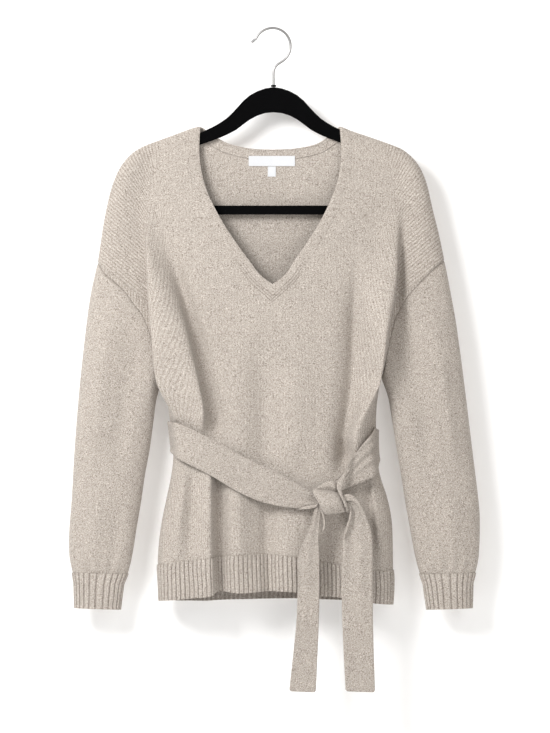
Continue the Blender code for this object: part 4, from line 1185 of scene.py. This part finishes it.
def hook_path():
    """Middle line of the hook's wire, and its radius at each point."""
    centre_z = -(HOOK_RADIUS - HOOK_WIRE / 2)
    tip_steps, arc_steps, bend_steps = HOOK_STEPS
    angles = np.radians(np.linspace(HOOK_TIP_ANGLE, HOOK_LOW_ANGLE, arc_steps))
    arc = np.stack([HOOK_RADIUS * np.cos(angles), centre_z + HOOK_RADIUS * np.sin(angles)], -1)
    tip = spline([*HOOK_TIP, arc[0]], np.linspace(0, 1, tip_steps))[:-1]
    bend = spline([arc[-1], *HOOK_BEND, (HANGER_X, HOOK_FOOT_Z)], np.linspace(0, 1, bend_steps))[1:]
    flat = np.vstack([tip, arc, bend])
    path = np.stack([flat[:, 0], np.zeros(len(flat)), flat[:, 1]], -1)
    swell = np.interp(travel_along(path), *np.transpose(HOOK_SWELL))
    return path, HOOK_WIRE / 2 * swell


def feed(tree, socket, value):
    """Sets a socket to a number or a colour, or links it to another socket."""
    if isinstance(value, (int, float)):
        socket.default_value = value
    elif isinstance(value, tuple):
        socket.default_value = (*value, 1.0)
    else:
        tree.links.new(value, socket)


def add_node(tree, kind, output, **inputs):
    """The named output of a new shader node with its inputs set or linked."""
    node = tree.nodes.new("ShaderNode" + kind)
    for label, value in inputs.items():
        feed(tree, node.inputs[label.replace("_", " ")], value)
    return node.outputs[output]


def calc(tree, kind, *values):
    """The result of a Math node with its inputs set or linked, in order."""
    node = tree.nodes.new("ShaderNodeMath")
    node.operation = kind
    for socket, value in zip(node.inputs, values):
        feed(tree, socket, value)
    return node.outputs[0]


def hump(tree, phase):
    """1 in the middle of each whole number's span and 0 at its ends, round between."""
    part = calc(tree, "MULTIPLY_ADD", calc(tree, "FRACT", phase), 2.0, -1.0)
    return calc(tree, "SUBTRACT", 1.0, calc(tree, "MULTIPLY", part, part))


def merge(tree, share, first, second):
    """The first number at a share of 0 and the second at 1."""
    return calc(tree, "MULTIPLY_ADD", calc(tree, "SUBTRACT", second, first), share, first)


def marked(tree, label):
    """A number that a piece's points carry, or 0 where they carry none."""
    fac = add_node(tree, "Attribute", "Fac")
    fac.node.attribute_name = label
    return fac


def blend_colour(tree, share, first, second, kind="MIX"):
    """Two colours mixed by a share, each set or linked."""
    node = tree.nodes.new("ShaderNodeMix")
    node.data_type = "RGBA"
    node.blend_type = kind
    for name, value in (("Factor_Float", share), ("A_Color", first), ("B_Color", second)):
        feed(tree, next(item for item in node.inputs if item.identifier == name), value)
    return next(item for item in node.outputs if item.identifier == "Result_Color")


def noise(tree, vector, scale, detail=2.0, roughness=0.5):
    """Soft noise, 0 to 1, with a scale to the metre."""
    return add_node(tree, "TexNoise", "Fac", Vector=vector, Scale=scale, Detail=detail, Roughness=roughness)


def spread(tree, value, low, high):
    """0 at low and 1 at high, eased between."""
    result = add_node(tree, "MapRange", "Result", Value=value, From_Min=low, From_Max=high)
    result.node.interpolation_type = "SMOOTHSTEP"
    return result


def new_group(name, inputs, outputs):
    """A node group, what it is given and what it gives, from the names and kinds of its sockets."""
    tree = bpy.data.node_groups.new(name, "ShaderNodeTree")
    for direction, sockets in (("INPUT", inputs), ("OUTPUT", outputs)):
        for label, kind in sockets.items():
            tree.interface.new_socket(name=label, in_out=direction, socket_type="NodeSocket" + kind)
    return tree, tree.nodes.new("NodeGroupInput").outputs, tree.nodes.new("NodeGroupOutput").inputs


def stitch_group():
    """Columns of V-shaped stitches, as a height and as the painted shade of the grooves between.

    Lines turns them to smooth ribs, as knit looks where it is stretched, and Purl to its inside."""
    tree, given, result = new_group(
        "knit stitches",
        {"Place": "Vector", "Wale": "Float", "Course": "Float", "Unevenness": "Float", "Lines": "Float",
         "Purl": "Float"},
        {"Height": "Float", "Groove shade": "Float"})
    split = tree.nodes.new("ShaderNodeSeparateXYZ")
    tree.links.new(given["Place"], split.inputs[0])
    wander = calc(tree, "SUBTRACT", noise(tree, given["Place"], WANDER_SCALE), 0.5)
    wander = calc(tree, "MULTIPLY", wander, given["Unevenness"])
    u = calc(tree, "ADD", split.outputs[0], wander)
    v = calc(tree, "ADD", split.outputs[1], wander)
    column = calc(tree, "FRACT", calc(tree, "DIVIDE", u, given["Wale"]))
    out = calc(tree, "ABSOLUTE", calc(tree, "SUBTRACT", column, 0.5))
    out = calc(tree, "MULTIPLY", out, 2.0)
    leg = calc(tree, "ABSOLUTE", calc(tree, "SUBTRACT", out, 0.5))
    leg = calc(tree, "SUBTRACT", 1.0, calc(tree, "MULTIPLY", leg, 2.0))
    leg = calc(tree, "POWER", leg, LEG_ROUND)
    row = calc(tree, "DIVIDE", v, given["Course"])
    loop = hump(tree, calc(tree, "ADD", row, calc(tree, "MULTIPLY", out, LOOP_SLANT)))
    plain = calc(tree, "MULTIPLY", leg, calc(tree, "MULTIPLY_ADD", loop, LOOP_DEPTH, 1 - LOOP_DEPTH))
    rib = calc(tree, "SUBTRACT", 1.0, calc(tree, "MULTIPLY", out, out))
    rib = calc(tree, "MULTIPLY_ADD", loop, LINE_LOOPS, calc(tree, "MULTIPLY", rib, LINE_HEIGHT))
    purl = hump(tree, calc(tree, "ADD", row, calc(tree, "MULTIPLY", out, PURL_BOW)))
    height = merge(tree, given["Lines"], plain, rib)
    height = merge(tree, given["Purl"], height, purl)
    tree.links.new(height, result["Height"])
    tree.links.new(calc(tree, "SUBTRACT", 1.0, height), result["Groove shade"])
    return tree


def melange_group():
    """Yarn spun of paler and darker fibres: a mottled colour with flecks."""
    tree, given, result = new_group(
        "melange yarn",
        {"Place": "Vector", "Main": "Color", "Pale": "Color", "Dark": "Color"},
        {"Color": "Color", "Fuzz": "Float"})
    place = given["Place"]
    fine = noise(tree, place, FLECK_SCALE, roughness=FLECK_ROUGHNESS)
    other = noise(tree, place, FLECK_SCALE * DARK_FLECKS, roughness=FLECK_ROUGHNESS)
    colour = blend_colour(tree, spread(tree, fine, *PALE_RANGE), given["Main"], given["Pale"])
    dark = calc(tree, "MULTIPLY", spread(tree, other, *DARK_RANGE), DARK_SHARE)
    colour = blend_colour(tree, dark, colour, given["Dark"])
    shaded = tree.nodes.new("ShaderNodeVectorMath")
    shaded.operation = "SCALE"
    tree.links.new(colour, shaded.inputs[0])
    tree.links.new(calc(tree, "MULTIPLY_ADD", noise(tree, place, BROAD_SCALE), *BROAD_SHADE),
                   shaded.inputs["Scale"])
    tree.links.new(shaded.outputs[0], result["Color"])
    tree.links.new(fine, result["Fuzz"])
    return tree


def new_material(name, **settings):
    """A material with its Principled shader's own sockets set."""
    material = bpy.data.materials.new(name)
    material.use_nodes = True
    shader = material.node_tree.nodes["Principled BSDF"]
    for label, value in settings.items():
        shader.inputs[label.replace("_", " ")].default_value = value
    return material, material.node_tree, shader


def place_in_object(tree):
    """A point's place in metres, for noise that stays on the piece."""
    return add_node(tree, "TexCoord", "Object")


def add_bump(tree, shader, height, strength, distance):
    """Gives a shader the relief of a height."""
    normal = add_node(tree, "Bump", "Normal", Height=height, Strength=strength, Distance=distance)
    tree.links.new(normal, shader.inputs["Normal"])


def knit_material(name, wale, course, shade, purl=0.0):
    """Oatmeal melange knit with stitches of a given width and height; shade is how much painted shade their
    grooves get.
    """
    material, tree, shader = new_material(name, Roughness=0.95, Sheen_Weight=0.15, Sheen_Roughness=0.5,
                                          Specular_IOR_Level=0.2)
    uv = tree.nodes.new("ShaderNodeUVMap")
    uv.uv_map = "knit"
    lines = marked(tree, "lines")
    stitches = tree.nodes.new("ShaderNodeGroup")
    stitches.node_tree = STITCHES
    for label, value in (("Place", uv.outputs[0]), ("Wale", wale * MM), ("Course", course * MM),
                         ("Unevenness", UNEVENNESS), ("Lines", lines), ("Purl", purl)):
        feed(tree, stitches.inputs[label], value)
    yarn = tree.nodes.new("ShaderNodeGroup")
    yarn.node_tree = MELANGE
    for label, value in (("Place", place_in_object(tree)), ("Main", YARN), ("Pale", YARN_PALE),
                         ("Dark", YARN_DARK)):
        feed(tree, yarn.inputs[label], value)
    fuzz = yarn.outputs["Fuzz"]
    # Painted shade in the grooves between stitches, stronger on the shoulder's lines
    groove_shade = calc(tree, "MULTIPLY", stitches.outputs["Groove shade"],
                calc(tree, "MULTIPLY_ADD", lines, LINE_SHADE, shade))
    colour = blend_colour(tree, groove_shade, yarn.outputs["Color"], GROOVE_SHADE_COLOUR, "MULTIPLY")

    # Lines of fashioning round the point of the V, and painted shade at seams, between ribs and on the
    # shoulder's lines
    row = calc(tree, "DIVIDE", marked(tree, "from_v"), APEX_PITCH * MM)
    shows = calc(tree, "MULTIPLY", calc(tree, "COMPARE", row, *APEX_ROWS), marked(tree, "near_point"))
    row = calc(tree, "POWER", calc(tree, "SUBTRACT", 1.0, hump(tree, row)), 2.0)
    row = calc(tree, "MULTIPLY", row, shows)
    row = calc(tree, "MULTIPLY", row, calc(tree, "MULTIPLY_ADD", fuzz, *APEX_UNEVEN))
    # seam carries the painted shade of seams and rib grooves, the fashioning lines, and the painted shade
    # on the shoulder's lines
    seam = calc(tree, "MAXIMUM", marked(tree, "seam"), row)
    seam = calc(tree, "MAXIMUM", seam, calc(tree, "MULTIPLY", lines, LINES_PAINTED_SHADE))
    seam = calc(tree, "MULTIPLY", seam, SEAM_SHADE)
    colour = blend_colour(tree, seam, colour, SEAM_SHADE_COLOUR, "MULTIPLY")
    tree.links.new(colour, shader.inputs["Base Color"])

    relief = calc(tree, "MULTIPLY", stitches.outputs["Height"],
                  calc(tree, "MULTIPLY_ADD", lines, -LINE_FLAT, 1.0))
    add_bump(tree, shader, calc(tree, "MULTIPLY_ADD", fuzz, FUZZ_HEIGHT, relief), *KNIT_BUMP)
    return material


def flock_material():
    """Short black pile."""
    material, tree, shader = new_material("black flock", Roughness=1.0, Specular_IOR_Level=0.03)
    grain = noise(tree, place_in_object(tree), FLOCK_SCALE)
    tree.links.new(blend_colour(tree, grain, *FLOCK_COLOURS), shader.inputs["Base Color"])
    add_bump(tree, shader, grain, *FLOCK_BUMP)
    return material


def steel_material():
    """Grey steel wire, with a painted dark reflection at its rims, as if it mirrored a dark room."""
    material, tree, shader = new_material("polished steel wire", Metallic=1.0)
    wear = noise(tree, place_in_object(tree), STEEL_SCALE, 3.0)
    tree.links.new(calc(tree, "MULTIPLY_ADD", wear, *STEEL_ROUGHNESS), shader.inputs["Roughness"])
    # painted dark reflection towards the rims
    edge = spread(tree, add_node(tree, "LayerWeight", "Facing", Blend=0.5), *STEEL_RIM_REFLECTION_RANGE)
    colour = blend_colour(tree, edge, blend_colour(tree, wear, *STEEL_COLOURS), STEEL_RIM_REFLECTION)
    tree.links.new(colour, shader.inputs["Base Color"])
    return material


def tape_material():
    """White woven satin tape."""
    material, tree, shader = new_material("white woven tape", Roughness=0.6, Sheen_Weight=0.2)
    split = tree.nodes.new("ShaderNodeSeparateXYZ")
    tree.links.new(place_in_object(tree), split.inputs[0])
    threads = []
    for axis, pitch in TAPE_THREADS:
        run = calc(tree, "MULTIPLY", split.outputs[axis], 2 * math.pi / pitch)
        threads.append(calc(tree, "SINE", run))
    weave = calc(tree, "MULTIPLY_ADD", calc(tree, "MULTIPLY", *threads), 0.5, 0.5)
    tree.links.new(blend_colour(tree, weave, *TAPE_COLOURS), shader.inputs["Base Color"])
    add_bump(tree, shader, weave, *TAPE_BUMP)
    return material


def belong(piece, materials, node):
    """Gives a piece its finish (outside, then inside), its body and the solid that it stands for."""
    piece.data.materials.clear()
    for material in materials:
        piece.data.materials.append(material)
    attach(piece, "root")
    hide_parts(node)


def studio_plane(name, material, place, tilt):
    """A wall or floor of the studio; the tilt stands it up."""
    bpy.ops.mesh.primitive_plane_add(size=1.0, location=place, rotation=(tilt, 0, 0))
    plane = bpy.context.object
    plane.name = name
    plane.scale = STUDIO_SIZE
    plane.data.materials.append(material)
    return plane


STITCHES = stitch_group()
MELANGE = melange_group()
plain_knit = knit_material("oatmeal plain knit", BODY_WALE, BODY_COURSE, 0.5)
purl_knit = knit_material("oatmeal purl side", BODY_WALE, BODY_COURSE, 0.8, 1.0)
rib_knit = knit_material("oatmeal ribbing", HEM_RIB_PITCH, BODY_COURSE, 0.35)
cuff_knit = knit_material("oatmeal cuff ribbing", CUFF_RIB_PITCH, BODY_COURSE, 0.35)
band_knit = knit_material("oatmeal neckband", BAND_WALE, BAND_WALE, 0.5)
tie_knit = knit_material("oatmeal tie knit", TIE_WALE, TIE_WALE, 0.5)
flock = flock_material()
steel = steel_material()
tape = tape_material()

grids = {}
for face, word in ((1, "front"), (2, "back")):
    turn = 1 if face == 1 else -1
    plan, grid, last = panel(face, OVER, DOWN)
    grids[word] = (grid, last)
    x, z = plan[..., 0], plan[..., 1]
    extras = np.stack([on_shoulder(x, z), wale_lines(x, z)], -1)
    grid, places, sloped, extras = edge_steps(grid, plan * MM, shoulder_map(x, z), extras)
    normals = grid_normals(grid) * turn
    grid = round_edges(grid, normals, left=SEAM_DIP, right=SEAM_DIP, low=NECK_DIP,
                       top=NECK_DIP if face == 1 else BACK_NECK_DIP)
    # painted shade along the armhole and side seams
    marks = {"seam": seam_shade_marks(grid, ("left", "right")), "lines": extras[..., 1]}
    if face == 1:
        marks.update(v_marks(places[..., 0] / MM, places[..., 1] / MM))
    piece = knit_sheet("cloth_" + word, grid, places, turn, others=sloped, take_other=extras[..., 0],
                       marks=marks)
    belong(piece, (plain_knit, purl_knit), "body_" + word)

    grid, places = neckband(face, OVER)
    grid = round_edges(grid, grid_normals(grid) * -turn, low=SEAM_DIP, top=NECK_DIP)
    marks = v_marks(grid[..., 0], grid[..., 2]) if face == 1 else {}
    piece = knit_sheet("cloth_neckband_" + word, grid, places, -turn, marks=marks)
    belong(piece, (band_knit,), "neckband_" + word)

    grid, places, ribs = hem(face)
    normals = grid_normals(grid) * turn
    grid = round_edges(grid + normals * (ribs * RIB_HEIGHT)[..., None], normals, top=NECK_DIP, low=NECK_DIP)
    # painted shade in the grooves between the ribs
    piece = knit_sheet("cloth_hem_" + word, grid, places, turn, marks={"seam": (1 - ribs) * RIB_GROOVE_SHADE})
    belong(piece, (rib_knit,), "hem_" + word)

for side, word in ((-1, "left"), (1, "right")):
    front, last = grids["front"]
    back = grids["back"][0]
    grid, places, behind = sleeve(side, front, back, last)
    on_back = np.broadcast_to(np.arange(grid.shape[1]) > last, grid.shape[:2]).astype(float)
    normals = grid_normals(grid) * -side
    normals[:, 0] = normals[:, -1] = (side, 0, 0)
    grid = round_edges(grid, normals, top=SEAM_DIP, low=NECK_DIP)
    # painted shade along the armhole seam
    piece = knit_sheet("cloth_sleeve_" + word, grid, places, -side, others=behind, take_other=on_back,
                       weld=True, marks={"seam": seam_shade_marks(grid, ("top",))})
    belong(piece, (plain_knit, purl_knit), "sleeve_" + word)

    grid, places, ribs = cuff(side)
    normals = grid_normals(grid) * -side
    normals[:, 0] = normals[:, -1] = (side, 0, 0)
    grid = round_edges(grid + normals * (ribs * RIB_HEIGHT)[..., None], normals, top=NECK_DIP)
    # painted shade in the grooves between the ribs
    piece = knit_sheet("cloth_cuff_" + word, grid, places, -side, weld=True,
                       marks={"seam": (1 - ribs) * RIB_GROOVE_SHADE})
    belong(piece, (cuff_knit,), "cuff_" + word)

bands = {}
for node, left, right, swell in KNOT_BANDS:
    bands.setdefault(node, []).append(tie(node + " band", ruled(left, right, swell), 1, BAND_WALL))

for word, face, turn, corner in (
        ("strap_left", strap(-1, STRAP_LEFT), -1, 0.0),
        ("strap_right", strap(1, STRAP_RIGHT), 1, 0.0),
        ("end_left", tie_end(END_LEFT), 1, END_CORNER),
        ("end_right", tie_end(END_RIGHT), 1, END_CORNER)):
    piece = tie("cloth_tie_" + word, pleated(face, turn, PLEATS[word]), turn, corner=corner)
    piece = joined([piece] + bands.get("tie_" + word, []))
    belong(piece, (tie_knit,), "tie_" + word)
knot = joined(bands["tie_knot"])
knot.name = "cloth_knot"
belong(knot, (tie_knit,), "tie_knot")

belong(tube("hook_wire", *hook_path()), (steel,), "hanger_hook")

for name, material in (("label", tape), ("size_tab", tape), ("hanger_arms", flock), ("hanger_bar", flock),
                       ("hanger_collar", flock)):
    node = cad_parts[name]
    node.data.materials.clear()
    node.data.materials.append(material)

# The studio: a pale wall just behind and a pale floor. The wall is clear from behind, and to light
# on its way to the garment's back
wall_material, tree, shader = new_material("pale wall", Roughness=0.9, Base_Color=WALL_COLOUR,
                                           Emission_Color=(1.0, 1.0, 1.0, 1.0), Emission_Strength=WALL_GLOW)
clear = calc(tree, "MAXIMUM", add_node(tree, "NewGeometry", "Backfacing"),
             add_node(tree, "LightPath", "Is Shadow Ray"))
mix = tree.nodes.new("ShaderNodeMixShader")
for number, source in enumerate((clear, shader.outputs[0], add_node(tree, "BsdfTransparent", "BSDF"))):
    tree.links.new(source, mix.inputs[number])
tree.links.new(mix.outputs[0], tree.nodes["Material Output"].inputs["Surface"])
floor_material = new_material("pale floor", Roughness=0.9, Base_Color=FLOOR_COLOUR)[0]

backdrop = studio_plane("studio_wall", wall_material, (0, WALL_Y, FLOOR_Z + WALL_RISE), math.pi / 2)
ground = studio_plane("studio_floor", floor_material, (0, FLOOR_Y, FLOOR_Z), 0.0)

for name, place, size, power, aim in LIGHTS:
    light = bpy.data.lights.new(name, "AREA")
    light.shape = "DISK"
    light.size = size
    light.energy = power
    lamp = bpy.data.objects.new(name, light)
    lamp.location = place
    lamp.rotation_euler = (Vector(aim) - Vector(place)).to_track_quat("-Z", "Y").to_euler()
    bpy.context.scene.collection.objects.link(lamp)

world = bpy.data.worlds.new("studio")
bpy.context.scene.world = world
world.use_nodes = True
background = world.node_tree.nodes["Background"]
background.inputs["Color"].default_value = WORLD_COLOUR
background.inputs["Strength"].default_value = WORLD_LIGHT

lens = bpy.data.cameras.new("photo camera")
lens.sensor_fit = "VERTICAL"
lens.sensor_height = SENSOR
lens.lens = SENSOR * (CAMERA_AWAY + CAMERA_PLANE) / VIEW_HEIGHT
lens.clip_end = CAMERA_FAR
camera = bpy.data.objects.new("photo camera", lens)
camera.location = (VIEW_X, -CAMERA_AWAY, VIEW_Z)
camera.rotation_euler = (math.pi / 2, 0, 0)
bpy.context.scene.collection.objects.link(camera)
bpy.context.scene.camera = camera
bpy.context.scene.view_settings.view_transform = "Standard"
